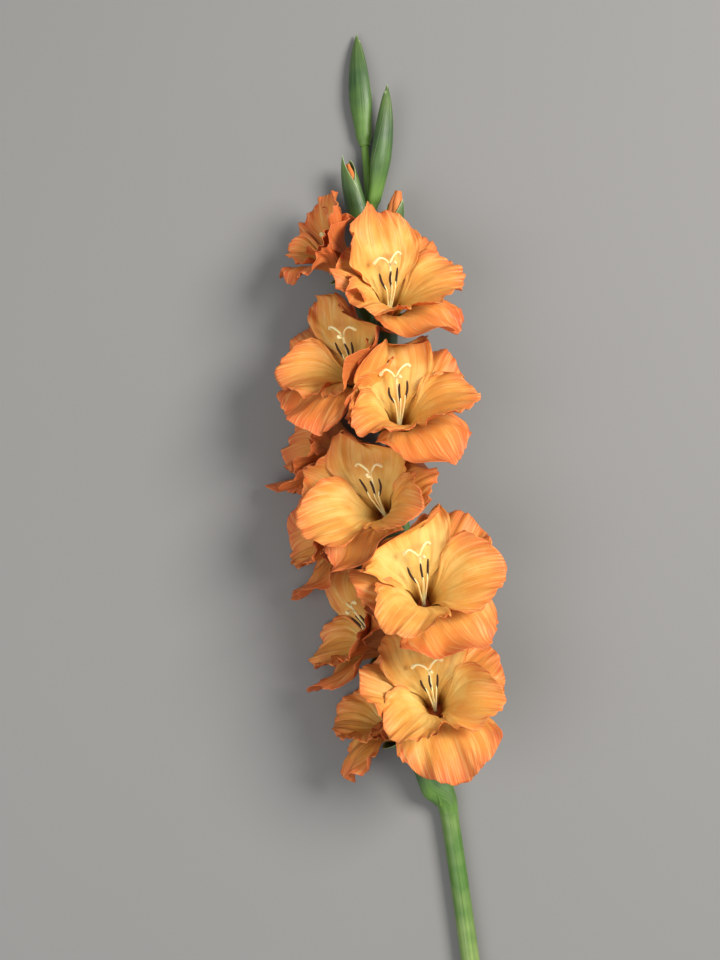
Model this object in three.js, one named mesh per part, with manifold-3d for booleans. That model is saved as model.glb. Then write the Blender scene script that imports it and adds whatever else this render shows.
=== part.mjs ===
// A cut gladiolus spike lying on a table, face up. The stem runs along +Y from its cut end to the top bud,
// and two ranks of florets open upwards and to the left. Each floret has six tepals joined in a tube, three
// stamens and a style, and a spathe of two green bracts. Unopened buds in their spathes end the spike.
// Sizes are millimetres, and angles are degrees unless a name says otherwise.

import * as THREE from "three";
import Module from "manifold-3d";

const wasm = await Module();
wasm.setup();

// Driving dimensions of the stem
const PLANT_LENGTH = 757;
const STEM_TOP = 681;
const CUT_END_RADIUS = 7.2;
const FIRST_FLORET_RADIUS = 6.6;
const STEM_TOP_RADIUS = 1.9;
const STEM_BOW = 10;
const STEM_LIFT = 8;
const STEM_SIDES = 10;
const STEM_STEPS = 12;

// Driving dimensions of an open floret
const TUBE_LENGTH = 42;
const TUBE_RADIUS = 3.4;
const TUBE_END_RADIUS = 6;
const FUNNEL_DEPTH = 28;
const FUNNEL_SPREAD = 14;
const TEPAL_THICKNESS = 0.8;
const WIDE_TEPAL = { rows: [0, 0.34, 0.62, 0.84, 1], columns: 5 };
const NARROW_TEPAL = { rows: [0, 0.36, 0.62, 0.83, 1], columns: 4 };
const TUBE_STATIONS = [0.5, 1]; // in tube lengths
const TUBE_TOP = 1.07;
const INNER_BASE = 4.2;
const OUTER_BASE = 5.6;
const TIP_ROUNDING = 0.25;
const TIP_NARROWING = 0.07;
const JOINED_SHARE = 1.15; // how far a whorl's tepals lap, as a share of the funnel's girth
const RUFFLE_WAVES = 11;
const EASING = { passes: 2, share: 0.3, from: 2 }; // how sharp folds are eased, from that row on

// Driving dimensions of the bracts and buds. BRACT_ lengths are shares of the tube's length.
const BRACT_BASE = 0.26;
const OUTER_BRACT_LENGTH = 1.34;
const INNER_BRACT_LENGTH = 1.16;
const BRACT_NOTCH = 1.04;
const BRACT_THICKNESS = 0.8;
const BRACT_GAP = 1.15;
const BRACT_LAP = 0.8; // how far the outer bract's edge stands on the inner one
const OUTER_BRACT_SPAN = 105;
const BUD_LENGTH = 76;
const BUD_RADIUS = 7.4;
const BUD_FLATNESS = 0.82;

// Clearances: between two nodes, round a neighbour's space, and how soft a petal bends away from it
const NODE_GAP = 0.3;
const NEIGHBOUR_CLEAR = 2.1;
const SPATHE_CLEAR = 3.4; // of petals round the tubes of the florets above
const RIDGE_WIDTH = 4.5; // of the tent over a spathe, in its radii
const LAP = { 1: 0.25, 2: 0.2 }; // how far the plane between two florets is tipped, by their distance
const WAVE_HEIGHT = 3.5; // of the waves in that plane
const WAVE_RATE = 0.17; // radians per millimetre along them
const TABLE_CLEAR = 0.8;
const BEND_SOFTNESS = 2.8;
const BEND_SLIDE = 0.5;

const COLOURS = {
  stem: 0x5d8a45,
  spathe: 0x5f9147,
  tepals: 0xf3963f,
  stamens: 0xf6e3a0,
};

// The florets from the lowest up. seat is its place along the stem, reach and rise how far its tube runs out
// from the stem and along it. face is the way it looks, from straight up, minus being left. tilt is how far
// it looks towards the spike's tip, roll turns it about its own axis, and open is 1 when full.
const FLORETS = [
  { seat: 203, reach: 18, rise: 60, face: -60, tilt: 44, roll: 14, size: 0.9, open: 0.96 },
  { seat: 232, reach: 19, rise: 42, face: 2, tilt: 32, roll: -6, size: 1.03, open: 0.96 },
  { seat: 266, reach: 13, rise: 56, face: -74, tilt: 34, roll: -8, size: 0.96, open: 0.98 },
  { seat: 297, reach: 20, rise: 46, face: 9, tilt: 32, roll: -14, size: 1.14, open: 1.0 },
  { seat: 334, reach: 18, rise: 58, face: -76, tilt: 30, roll: 8, size: 1.0, open: 1.0 },
  { seat: 366, reach: 20, rise: 42, face: -20, tilt: 28, roll: 12, size: 1.06, open: 1.0 },
  { seat: 400, reach: 15, rise: 58, face: -76, tilt: 34, roll: 8, size: 0.97, open: 0.97 },
  { seat: 430, reach: 20, rise: 37, face: 12, tilt: 34, roll: -8, size: 1.06, open: 1.0 },
  { seat: 466, reach: 21, rise: 38, face: -30, tilt: 32, roll: 10, size: 1.02, open: 0.96 },
  { seat: 500, reach: 20, rise: 49, face: 16, tilt: 34, roll: -18, size: 1.0, open: 0.94 },
  { seat: 540, reach: 20, rise: 48, face: -46, tilt: 42, roll: 0, size: 0.84, open: 0.42 },
];

// The buds above them. show is how far the furled tepals reach in the spathe, or 0 if it is shut, and gape
// how wide the spathe stands at its tip.
const BUDS = [
  { seat: 580, face: 48, lean: 26, length: 0.86, show: 1.0, gape: 0.75 },
  { seat: 602, face: -50, lean: 17, length: 1.0, show: 0.82, gape: 0.2 },
  { seat: 636, face: 56, lean: 18, length: 1.12, show: 0 },
  { seat: STEM_TOP, face: -20, lean: 3, length: 1.0, show: 0, onTop: true },
];

// The six tepals. angle is the place round the flower, from its right side and up. reach is how far the tip
// stands from the flower's axis, rise how far in front of the mouth, and cup the curve across the tip.
const TEPALS = [
  { angle: 34, inner: false, reach: 50, rise: 11, halfWidth: 33, cup: 0.006, ruffle: 4.6 },
  { angle: 146, inner: false, reach: 50, rise: 11, halfWidth: 33, cup: 0.006, ruffle: 4.6 },
  { angle: 270, inner: false, reach: 60, rise: 1, halfWidth: 36, cup: -0.002, ruffle: 5.0 },
  { angle: 90, inner: true, reach: 62, rise: 22, halfWidth: 36, cup: 0.012, ruffle: 4.0 },
  { angle: 208, inner: true, reach: 46, rise: 13, halfWidth: 28, cup: 0.02, ruffle: 3.2 },
  { angle: 332, inner: true, reach: 46, rise: 13, halfWidth: 28, cup: 0.02, ruffle: 3.2 },
];

const V = (x, y, z) => new THREE.Vector3(x, y, z);
const radians = THREE.MathUtils.degToRad;
const mix = THREE.MathUtils.lerp;
const smooth = (low, high, x) => THREE.MathUtils.smoothstep(x, low, high);

const TABLE = { through: V(0, 0, 0), normal: V(0, 0, 1), sway: V(1, 0, 0), phase: 0, wave: 0 };

// A weighted sum of vectors.
function sum(...terms) {
  return terms.reduce((total, [vector, weight]) => total.addScaledVector(vector, weight), V(0, 0, 0));
}

// What is left of a direction across an axis, as a unit vector.
function across(direction, axis) {
  return direction.clone().addScaledVector(axis, -direction.dot(axis)).normalize();
}

// A repeatable draw from -1 to 1 for item k of floret i.
function draw(i, k) {
  const v = Math.sin(i * 127.1 + k * 311.7 + 74.7) * 43758.5453;
  return 2 * (v - Math.floor(v)) - 1;
}

// A cubic Bezier curve through four numbers or four vectors, as its weights.
function bezierWeights(u) {
  const r = 1 - u;
  return [r * r * r, 3 * r * r * u, 3 * r * u * u, u * u * u];
}

// The stem

function stemRadius(y) {
  const first = FLORETS[0].seat;
  if (y < first) return mix(CUT_END_RADIUS, FIRST_FLORET_RADIUS, y / first);
  return mix(FIRST_FLORET_RADIUS, STEM_TOP_RADIUS, (y - first) / (STEM_TOP - first));
}

// The stem's centre at y: it bows to the left, and its underside lies flat up to the first florets, is held
// off the table by them, and comes down again for the top bud to rest on the table.
function stemCentre(y) {
  const share = y / PLANT_LENGTH;
  const bow = Math.sin(Math.PI * Math.max(share, 0) ** 1.4) ** 2;
  const flat = Math.cos(Math.PI / STEM_SIDES);
  const lift = smooth(0.25, 0.45, share) * (1 - 0.5 * smooth(0.62, 0.9, share));
  return V(-STEM_BOW * bow, y, stemRadius(y) * flat + STEM_LIFT * lift);
}

// The stem's frame at y: along it, to the right and up.
function stemFrame(y) {
  const along = stemCentre(y + 1).sub(stemCentre(y - 1)).normalize();
  const up = across(V(0, 0, 1), along);
  return { along, up, right: along.clone().cross(up) };
}

// Solids

// A closed solid from vertices and triangles.
function solidOf(points, triangles) {
  const vertProperties = new Float32Array(points.flatMap((p) => [p.x, p.y, p.z]));
  return new wasm.Manifold(new wasm.Mesh({ numProp: 3, vertProperties, triVerts: new Uint32Array(triangles) }));
}

// A thin sheet: pointAt(s, t) with s at the steps along it and t from -1 to 1 across, given a thickness.
// Each point of its free part is drawn a little towards those next to it, so that no fold is too sharp for
// the thickness. Both faces and the rim are split alike.
function sheet(pointAt, steps, columns, thickness) {
  const rows = steps.length;
  const at = (r, c) => pointAt(steps[r], (2 * c) / (columns - 1) - 1);
  const middle = [];
  for (let r = 0; r < rows; r++) for (let c = 0; c < columns; c++) middle.push(at(r, c));
  const index = (r, c) => r * columns + c;
  for (let pass = 0; pass < EASING.passes; pass++) {
    const before = middle.map((p) => p.clone());
    for (let r = EASING.from; r < rows; r++)
      for (let c = 0; c < columns; c++) {
        const around = [before[index(r - 1, c)]];
        if (r < rows - 1) around.push(before[index(r + 1, c)]);
        if (c > 0) around.push(before[index(r, c - 1)]);
        if (c < columns - 1) around.push(before[index(r, c + 1)]);
        middle[index(r, c)].lerp(sum(...around.map((p) => [p, 1 / around.length])), EASING.share);
      }
  }
  const point = (r, c) =>
    middle[index(Math.min(rows - 1, Math.max(0, r)), Math.min(columns - 1, Math.max(0, c)))];
  const points = [];
  for (const side of [1, -1])
    for (let r = 0; r < rows; r++)
      for (let c = 0; c < columns; c++) {
        const along = point(r + 1, c).clone().sub(point(r - 1, c));
        const acrossIt = point(r, c + 1).clone().sub(point(r, c - 1));
        const normal = acrossIt.cross(along).normalize();
        points.push(point(r, c).clone().addScaledVector(normal, (side * thickness) / 2));
      }
  const back = rows * columns;
  const triangles = [];
  const quad = (a, b, c, d) => triangles.push(a, b, c, a, c, d);
  for (let r = 0; r < rows - 1; r++)
    for (let c = 0; c < columns - 1; c++) {
      const [a, b, d, e] = [index(r, c), index(r, c + 1), index(r + 1, c + 1), index(r + 1, c)];
      quad(a, b, d, e);
      triangles.push(back + a, back + d, back + b, back + a, back + e, back + d);
    }
  for (let c = 0; c < columns - 1; c++) {
    const [a, b] = [index(0, c), index(0, c + 1)];
    quad(b, a, back + a, back + b);
    const [d, e] = [index(rows - 1, c), index(rows - 1, c + 1)];
    quad(d, e, back + e, back + d);
  }
  for (let r = 0; r < rows - 1; r++) {
    const [a, b] = [index(r, 0), index(r + 1, 0)];
    quad(a, b, back + b, back + a);
    const [d, e] = [index(r, columns - 1), index(r + 1, columns - 1)];
    quad(e, d, back + d, back + e);
  }
  return solidOf(points, triangles);
}

// A closed solid from rings of points, all with the same count, each ring joined to the next one.
function ringSolid(rings) {
  const sides = rings[0].length;
  const last = (rings.length - 1) * sides;
  const triangles = [];
  for (let base = 0; base < last; base += sides)
    for (let k = 0; k < sides; k++) {
      const [a, b] = [base + k, base + ((k + 1) % sides)];
      triangles.push(a, b, b + sides, a, b + sides, a + sides);
    }
  for (let k = 1; k < sides - 1; k++) {
    triangles.push(0, k + 1, k);
    triangles.push(last, last + k, last + k + 1);
  }
  return solidOf(rings.flat(), triangles);
}

// A round rod through centres, with a radius at each. reference fixes how its sides are turned.
function rod(centres, radii, sides, reference, turn = 0) {
  const last = centres.length - 1;
  const rings = centres.map((centre, i) => {
    const along = centres[Math.min(last, i + 1)].clone().sub(centres[Math.max(0, i - 1)]).normalize();
    const first = across(reference, along);
    const second = along.clone().cross(first);
    return Array.from({ length: sides }, (_, k) => {
      const angle = (2 * Math.PI * (k + turn)) / sides;
      return sum([centre, 1], [first, radii[i] * Math.cos(angle)], [second, radii[i] * Math.sin(angle)]);
    });
  });
  return ringSolid(rings);
}

// Several solids joined in one.
function joined(solids) {
  return solids.reduce((whole, next) => whole.add(next));
}

// The largest body of a solid, without scraps that a cut left loose.
function largest(solid) {
  return solid.decompose().reduce((best, body) => (body.volume() > best.volume() ? body : best));
}

function stemSolid(extraRadius = 0) {
  const centres = [];
  const radii = [];
  for (let i = 0; i <= STEM_STEPS; i++) {
    const y = (STEM_TOP * i) / STEM_STEPS;
    centres.push(stemCentre(y));
    radii.push(stemRadius(y) + extraRadius);
  }
  return rod(centres, radii, STEM_SIDES, V(0, 0, 1), 0.5);
}

// Everything that lies under the table's surface, as one slab to cut with.
function tableSlab() {
  const box = new THREE.BoxGeometry(2000, 2000, 100).translate(0, 300, -50);
  const corners = new Map();
  const points = [];
  const at = box.getAttribute("position");
  const shared = Array.from({ length: at.count }, (_, i) => {
    const key = [at.getX(i), at.getY(i), at.getZ(i)].join();
    if (!corners.has(key)) {
      corners.set(key, points.length);
      points.push(V(at.getX(i), at.getY(i), at.getZ(i)));
    }
    return corners.get(key);
  });
  return solidOf(points, Array.from(box.index.array, (i) => shared[i]));
}

// An open floret: where it sits, the way it looks and the curve of its tube.
function placeFloret(spec, i) {
  const y = spec.seat;
  const { along, up, right } = stemFrame(y);
  const face = radians(spec.face);
  const tilt = radians(spec.tilt);
  const out = sum([up, Math.cos(face)], [right, Math.sin(face)]);
  const axis = sum([out, Math.cos(tilt)], [along, Math.sin(tilt)]);
  const seat = sum([stemCentre(y), 1], [out, stemRadius(y) + 1.2]);
  const tubeEnd = sum([seat, 1], [out, spec.reach * spec.size], [along, spec.rise * spec.size]);
  const mouth = sum([tubeEnd, 1], [axis, FUNNEL_DEPTH * spec.size]);
  const upright = across(along, axis);
  const sideways = upright.clone().cross(axis);
  const roll = radians(spec.roll);
  return {
    ...spec,
    i,
    along,
    out,
    axis,
    seat,
    tubeEnd,
    mouth,
    dorsal: sum([upright, Math.cos(roll)], [sideways, Math.sin(roll)]),
    right: sum([sideways, Math.cos(roll)], [upright, -Math.sin(roll)]),
    tube: [seat, sum([seat, 1], [along, 14], [out, 6]), sum([tubeEnd, 1], [axis, -13]), tubeEnd],
    neighbours: [],
    beads: [],
    ridge: [],
  };
}

// Between two florets next to each other, or next but one, each one's tepals keep to their own side of a
// waved plane. It is tipped so that the floret that looks more upwards laps over the one next to it, and in
// one rank the upper floret over the lower one.
function partFlorets(florets) {
  const heart = (f) => sum([f.mouth, 1], [f.axis, 10 * f.size]);
  const spread = (f) => f.size * (0.4 + 0.6 * f.open);
  for (const step of [1, 2])
    for (let i = 0; i + step < florets.length; i++) {
      const [low, high] = [florets[i], florets[i + step]];
      const forward = sum([low.axis, 1], [high.axis, 1]).normalize();
      const lap = step === 1 && low.axis.z > high.axis.z ? -LAP[step] : LAP[step];
      const normal = heart(high).sub(heart(low)).normalize().addScaledVector(forward, lap).normalize();
      const through = heart(low).lerp(heart(high), spread(low) / (spread(low) + spread(high)));
      const sway = normal.clone().cross(forward).normalize();
      const shared = { through, clear: NEIGHBOUR_CLEAR, sway, phase: 2.1 * low.i + 1.3 * step };
      high.neighbours.push({ ...shared, normal, wave: WAVE_HEIGHT });
      low.neighbours.push({ ...shared, normal: normal.clone().negate(), wave: -WAVE_HEIGHT });
    }
  for (const floret of florets)
    florets.slice(floret.i + 1, floret.i + 4).forEach((above, k) => {
      const beads = k === 1 ? floret.ridge : floret.beads;
      for (let u = 0.1; u < 1.3; u += 0.165)
        beads.push({ centre: tubeLine(above, u), radius: perianthRadius(u) + SPATHE_CLEAR, out: above.out });
    });
}

// Lifts a point of a tepal over the spathe of the floret above in its own rank, as over the ridge of a tent.
function bendOver(point, floret, share) {
  let total = 0;
  for (const { centre, radius, out } of floret.ridge) {
    const from = point.clone().sub(centre);
    const height = from.dot(out);
    const aside = from.lengthSq() - height ** 2;
    total += Math.exp((radius - aside / (RIDGE_WIDTH * radius) - height) / BEND_SOFTNESS);
  }
  if (total) point.addScaledVector(floret.ridge[0].out, BEND_SOFTNESS * Math.log1p(total) * share);
}

// Moves a point of a tepal off the spathes of the other rank's florets, each a row of soft beads.
function bendRound(point, floret, share) {
  const from = floret.beads.map((bead) => point.clone().sub(bead.centre));
  const weights = floret.beads.map((bead, k) => Math.exp((bead.radius - from[k].length()) / BEND_SOFTNESS));
  const total = weights.reduce((whole, weight) => whole + weight, 0);
  if (!total) return;
  const away = sum(...from.map((vector, k) => [vector.normalize(), weights[k]])).normalize();
  point.addScaledVector(away, BEND_SOFTNESS * Math.log1p(total) * share);
}

// Moves a point of a tepal off the planes that it would cross, and on outwards by part of that, as a
// petal bends along what it presses on.
function bendAway(point, floret, planes, share) {
  for (const plane of planes) {
    const from = point.clone().sub(plane.through);
    const wave = plane.wave * Math.sin(WAVE_RATE * from.dot(plane.sway) + plane.phase);
    const height = from.dot(plane.normal) - wave;
    const push = BEND_SOFTNESS * Math.log1p(Math.exp((plane.clear - height) / BEND_SOFTNESS)) * share;
    const outward = across(point.clone().sub(floret.mouth), plane.normal);
    point.addScaledVector(plane.normal, push).addScaledVector(outward, push * BEND_SLIDE);
  }
  return point;
}

// The tepal's own numbers in a floret that may be half open, each drawn a little off the rule.
function tepalOf(floret, k) {
  const rule = TEPALS[k];
  const { i, open, size } = floret;
  return {
    k,
    grid: rule.halfWidth > 30 ? WIDE_TEPAL : NARROW_TEPAL,
    angle: radians(rule.angle + 7 * draw(i, 10 + k)),
    base: rule.inner ? INNER_BASE : OUTER_BASE,
    shoulder: rule.inner ? [0.34, 0.4, 10] : [0.38, 0.38, 10],
    lift: rule.inner ? 0.7 : -0.5,
    reach: rule.reach * size * mix(0.42, 1, open) * (1 + 0.06 * draw(i, 20 + k)),
    rise: mix(34, rule.rise, open) * size + 4.5 * draw(i, 30 + k),
    halfWidth: rule.halfWidth * size * (1 + 0.06 * draw(i, 40 + k)),
    cup: mix(0.05, rule.cup, open) + 0.004 * draw(i, 50 + k),
    ruffle: rule.ruffle * mix(1.2, 1, open),
    phase: Math.PI * draw(i, 60 + k),
    twist: radians(14 * draw(i, 70 + k)),
    sway: 5 * draw(i, 100 + k),
    clear: TABLE_CLEAR + (rule.inner ? 1.2 : 0) + 0.4 * (k % 3),
  };
}

// A point of a tepal's middle surface. Its midline is a Bezier curve in the plane of the flower's axis,
// from the tube out over the mouth to the tip. Across, it is an arc that follows the funnel's cone below
// and its own cup above. Waves that fan out from below the middle ruffle its edge.
function tepalPoint(floret, tepal, s, t) {
  const depth = FUNNEL_DEPTH * floret.size;
  const u = s * (1 - TIP_ROUNDING * t * t * s * s);
  const r = 1 - u;
  const [outwards, upwards, forwards] = tepal.shoulder;
  const rhos = [tepal.base, tepal.base + 2.6, outwards * tepal.reach, tepal.reach];
  const zetas = [-depth, -depth * 0.46, upwards * tepal.rise + forwards * floret.size, tepal.rise];
  const weights = bezierWeights(u);
  const slopes = [-3 * r * r, 3 * r * r - 6 * r * u, 6 * r * u - 3 * u * u, 3 * u * u];
  const total = (values, by) => values.reduce((whole, value, i) => whole + value * by[i], 0);
  const [rho, zeta] = [total(rhos, weights), total(zetas, weights)];
  const [rhoSlope, zetaSlope] = [total(rhos, slopes), total(zetas, slopes)];
  const slope = Math.hypot(rhoSlope, zetaSlope);
  const [sine, cosine] = [rhoSlope / slope, zetaSlope / slope];

  const outward = sum([floret.right, Math.cos(tepal.angle)], [floret.dorsal, Math.sin(tepal.angle)]);
  const round = sum([floret.right, -Math.sin(tepal.angle)], [floret.dorsal, Math.cos(tepal.angle)]);
  const inward = sum([outward, -cosine], [floret.axis, sine]);
  const twist = tepal.twist * smooth(0.4, 1, s);
  const lateral = sum([round, Math.cos(twist)], [inward, Math.sin(twist)]);
  const facing = sum([inward, Math.cos(twist)], [round, -Math.sin(twist)]);

  const free = tepal.halfWidth * (1 - TIP_NARROWING * Math.max(0, (s - 0.7) / 0.3) ** 2);
  const joinedWidth = (Math.PI / 3) * rho * mix(0.72, JOINED_SHARE, smooth(7, 20, rho));
  const halfWidth = (free ** -6 + joinedWidth ** -6) ** (-1 / 6);
  const bend = mix(cosine / rho, tepal.cup, smooth(0.3, 0.85, u));
  const x = halfWidth * t;
  const arc = bend * x;
  const sway = tepal.sway * smooth(0.3, 1, s) * s;
  const sideways = (Math.abs(arc) < 1e-6 ? x : Math.sin(arc) / bend) + sway;
  const lifted = Math.abs(arc) < 1e-6 ? 0 : (1 - Math.cos(arc)) / bend;

  const edge = 1 - (1 - Math.abs(t) ** 2.4) * (1 - s ** 5);
  const fan = Math.atan2(x, 78 * floret.size * (u - 0.36));
  const wave = Math.sin(RUFFLE_WAVES * fan + tepal.phase) * (0.7 + 0.3 * Math.sin(2 * fan + 2 * tepal.phase));
  const ruffle = tepal.ruffle * edge * smooth(0.4, 0.8, s) * (wave + tepal.lift);

  const point = sum(
    [floret.mouth, 1],
    [outward, rho],
    [floret.axis, zeta],
    [lateral, sideways - ruffle * Math.sin(arc)],
    [facing, lifted + ruffle * Math.cos(arc)],
  );
  const share = smooth(0.35, 0.75, s);
  bendAway(point, floret, floret.neighbours, share);
  bendRound(point, floret, smooth(0.3, 0.5, s));
  bendOver(point, floret, smooth(0.3, 0.5, s));
  return bendAway(point, floret, [{ ...TABLE, clear: tepal.clear }], share);
}

// The line down the middle of the tube at u. It runs straight on up the funnel past 1, and down along the
// stem below 0.
function tubeLine(floret, u) {
  if (u > 1) return sum([floret.tubeEnd, 1], [floret.axis, (u - 1) * tubeLength(floret)]);
  if (u < 0) return sum([floret.seat, 1], [floret.along, u * 60]);
  return sum(...floret.tube.map((p, i) => [p, bezierWeights(u)[i]]));
}

function tubeLength(floret) {
  return TUBE_LENGTH * floret.size;
}

// A ring of points round the tube's line at u, square to it. Angles run from the side away from the stem.
function tubeRing(floret, places) {
  return places.map(({ u, radius, angle }) => {
    const line = tubeLine(floret, u);
    const axis = tubeLine(floret, u + 0.02).sub(tubeLine(floret, u - 0.02)).normalize();
    const away = across(sum([floret.out, 1], [floret.along, -1]), axis);
    const sideways = axis.clone().cross(away);
    return sum([line, 1], [away, radius * Math.cos(angle)], [sideways, radius * Math.sin(angle)]);
  });
}

// The tube with its six tepals, in one solid: the perianth.
function perianthSolid(floret, table) {
  const start = BRACT_BASE + NODE_GAP / tubeLength(floret);
  const rings = [start, ...TUBE_STATIONS, TUBE_TOP].map((u) => {
    const radius = mix(TUBE_RADIUS, TUBE_END_RADIUS, Math.min(1, u));
    const places = Array.from({ length: 5 }, (_, k) => ({ u, radius, angle: (2 * Math.PI * k) / 5 }));
    return tubeRing(floret, places);
  });
  const tube = ringSolid(rings);
  const tepals = TEPALS.map((_, k) => {
    const tepal = tepalOf(floret, k);
    const { rows, columns } = tepal.grid;
    return sheet((s, t) => tepalPoint(floret, tepal, s, t), rows, columns, TEPAL_THICKNESS);
  });
  return largest(joined([tube, ...tepals]).subtract(table));
}

// Three stamens and a style with its three branches, joined where they rise from the funnel's floor. They
// draw together in a floret that is half shut.
function stamenSolid(floret) {
  const { mouth, axis, dorsal, right, size, open, i } = floret;
  const spread = size * mix(0.1, 1, open);
  const place = (sideways, upwards, forwards) =>
    sum([mouth, 1], [right, sideways * spread], [dorsal, upwards * spread], [axis, forwards * size]);
  const floor = (TUBE_TOP - 1) * (tubeLength(floret) / size) - FUNNEL_DEPTH + (NODE_GAP + 0.7) / size;
  const parts = [];
  for (const side of [-1, 0, 1]) {
    const lean = side * 5 + 1.5 * draw(i, 80 + side);
    const line = [
      place(side * 0.3, 0.3 - 0.3 * Math.abs(side), floor + 1.5),
      place(lean * 0.6, 4.2, floor + 21),
      place(lean * 0.95, 8, floor + 28),
      place(lean * 1.2, 11, floor + 34),
    ];
    parts.push(rod(line, [0.8, 0.6, 1.3, 0.4], 3, dorsal));
  }
  const tip = place(0.5, 14.5, floor + 37);
  const branch = (sideways, upwards) => [
    place(sideways * 0.8, 14.5 + upwards, floor + 42.5),
    place(sideways * 1.3, 14.5 + upwards * 1.5, floor + 40),
  ];
  const style = [place(0, 0, floor), place(0, 5.5, floor + 20), tip, ...branch(0.6, -3)];
  parts.push(rod(style, [2.4, 0.8, 0.7, 0.75, 0.9], 3, dorsal));
  for (const side of [-6, 6]) parts.push(rod([tip, ...branch(side, 3.5)], [0.6, 0.75, 0.9], 3, dorsal));
  return joined(parts);
}

// How far the tube and funnel reach from their line at u, where the bracts wrap them.
function perianthRadius(u) {
  const beyond = Math.max(0, u - 1);
  const inTube = THREE.MathUtils.clamp(u, 0, 1);
  return mix(TUBE_RADIUS, TUBE_END_RADIUS, inTube) + FUNNEL_SPREAD * beyond * (1 + 2 * beyond);
}

// Where the edges of a spathe's two bracts run round it: five points of the outer bract, then five of the inner
// one. share is how far to a side of its own bract a point lies, and angle its place round the spathe.
function bractEdges(span) {
  const places = [-1, -0.5, 0, 0.5, 1];
  const rest = Math.PI - span - 0.12;
  const outer = places.map((share) => ({ outer: true, share, angle: span * share }));
  const inner = places.map((share) => ({ outer: false, share, angle: Math.PI + rest * share }));
  return [...outer, ...inner];
}

// An open floret's spathe: up its outer face and down its inner one, from the short solid base that clasps
// the stem. Its rim rises to the point of the outer bract and to that of the inner one.
function spatheSolid(floret, stemSpace, table) {
  const top = (edge) => {
    const length = edge.outer ? OUTER_BRACT_LENGTH : INNER_BRACT_LENGTH;
    return mix(length, BRACT_NOTCH, Math.abs(edge.share) ** 1.3);
  };
  const edges = bractEdges(radians(OUTER_BRACT_SPAN));
  const ring = (heightOf, thickness, waist = 1) => {
    const places = edges.map((edge) => {
      const u = heightOf(edge);
      const lap = thickness && edge.outer ? BRACT_LAP : 0;
      return { u, angle: edge.angle, radius: (perianthRadius(u) + BRACT_GAP + thickness + lap) * waist };
    });
    return tubeRing(floret, places);
  };
  const face = (thickness) => [...TUBE_STATIONS.map((u) => ring(() => u, thickness)), ring(top, thickness)];
  const foot = ring(() => -0.1, BRACT_THICKNESS, 0.45);
  const outside = [foot, ring(() => 0.06, BRACT_THICKNESS, 0.9), ...face(BRACT_THICKNESS)];
  const inside = [...face(0).reverse(), ring(() => BRACT_BASE, 0)];
  return largest(ringSolid([...outside, ...inside]).subtract(stemSpace).subtract(table));
}

// Buds

function placeBud(spec, i) {
  const y = spec.seat;
  const { along, up, right } = stemFrame(y);
  const face = radians(spec.face);
  const out = sum([up, Math.cos(face)], [right, Math.sin(face)]);
  const lean = radians(spec.lean);
  const start = sum([along, Math.cos(lean)], [out, Math.sin(lean)]);
  const offset = spec.onTop ? [along, NODE_GAP] : [out, stemRadius(y) * 0.9 + 1.6];
  return { ...spec, i, seat: sum([stemCentre(y), 1], offset), start, out, along };
}

// The bud's middle line at s: it leans out of the stem and turns back a little along it.
function budLine(bud, s) {
  const reach = BUD_LENGTH * bud.length * s;
  return sum([bud.seat, 1], [bud.start, reach], [bud.out, -0.0011 * reach * reach]);
}

// Its foot ends in a step, it swells to two fifths of its length and tapers to its tip.
function budRadius(bud, s) {
  const swell = mix(0.42, 0.64, smooth(-0.05, 0.02, s)) + 0.36 * smooth(0, 0.4, s);
  const taper = (1 - (bud.gape ?? 0)) * Math.max(0, (s - 0.28) / 0.72) ** 2.6;
  return BUD_RADIUS * swell * (1 - taper) + 0.4;
}

// A point round a bud at s, flattened towards the stem.
function budPoint(bud, s, angle, radius) {
  const line = budLine(bud, s);
  const along = budLine(bud, s + 0.01).sub(budLine(bud, s - 0.01)).normalize();
  const away = across(bud.out, along);
  const sideways = along.clone().cross(away);
  return sum(
    [line, 1],
    [away, radius * BUD_FLATNESS * Math.cos(angle)],
    [sideways, radius * Math.sin(angle)],
  );
}

// A ring of a bud's spathe, with the outer bract's edges slanting over the inner one to the tip.
function budRing(bud, s, extra, lap, notch = 0) {
  const span = radians(mix(140, 60, Math.max(0, s) ** 0.8));
  return bractEdges(span).map((edge) => {
    const height = s * (edge.outer ? 1 : 0.94) - notch * Math.abs(edge.share) ** 1.3;
    return budPoint(bud, height, edge.angle, budRadius(bud, height) + extra + (edge.outer ? lap : 0));
  });
}

// A bud's spathe. A shut one is solid. An open one is hollow above its base, with its rim notched where
// its two bracts meet.
function budSpatheSolid(bud, stemSpace, table) {
  const lap = BRACT_LAP;
  if (!bud.show) {
    const rings = [-0.05, 0.02, 0.2, 0.4, 0.6, 0.78, 0.92, 1].map((s) => budRing(bud, s, 0, lap * (1 - s ** 4)));
    return largest(ringSolid(rings).subtract(stemSpace).subtract(table));
  }
  const outside = [-0.05, 0.02, 0.2, 0.4, 0.64].map((s) => budRing(bud, s, 0, lap));
  const rim = [0.9, 0.2];
  outside.push(budRing(bud, rim[0], 0, lap, rim[1]));
  const inside = [budRing(bud, rim[0], -BRACT_THICKNESS, 0, rim[1])];
  for (const s of [0.5, 0.3, 0.12]) inside.push(budRing(bud, s, -BRACT_THICKNESS, 0));
  return largest(ringSolid([...outside, ...inside]).subtract(stemSpace).subtract(table));
}

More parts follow.
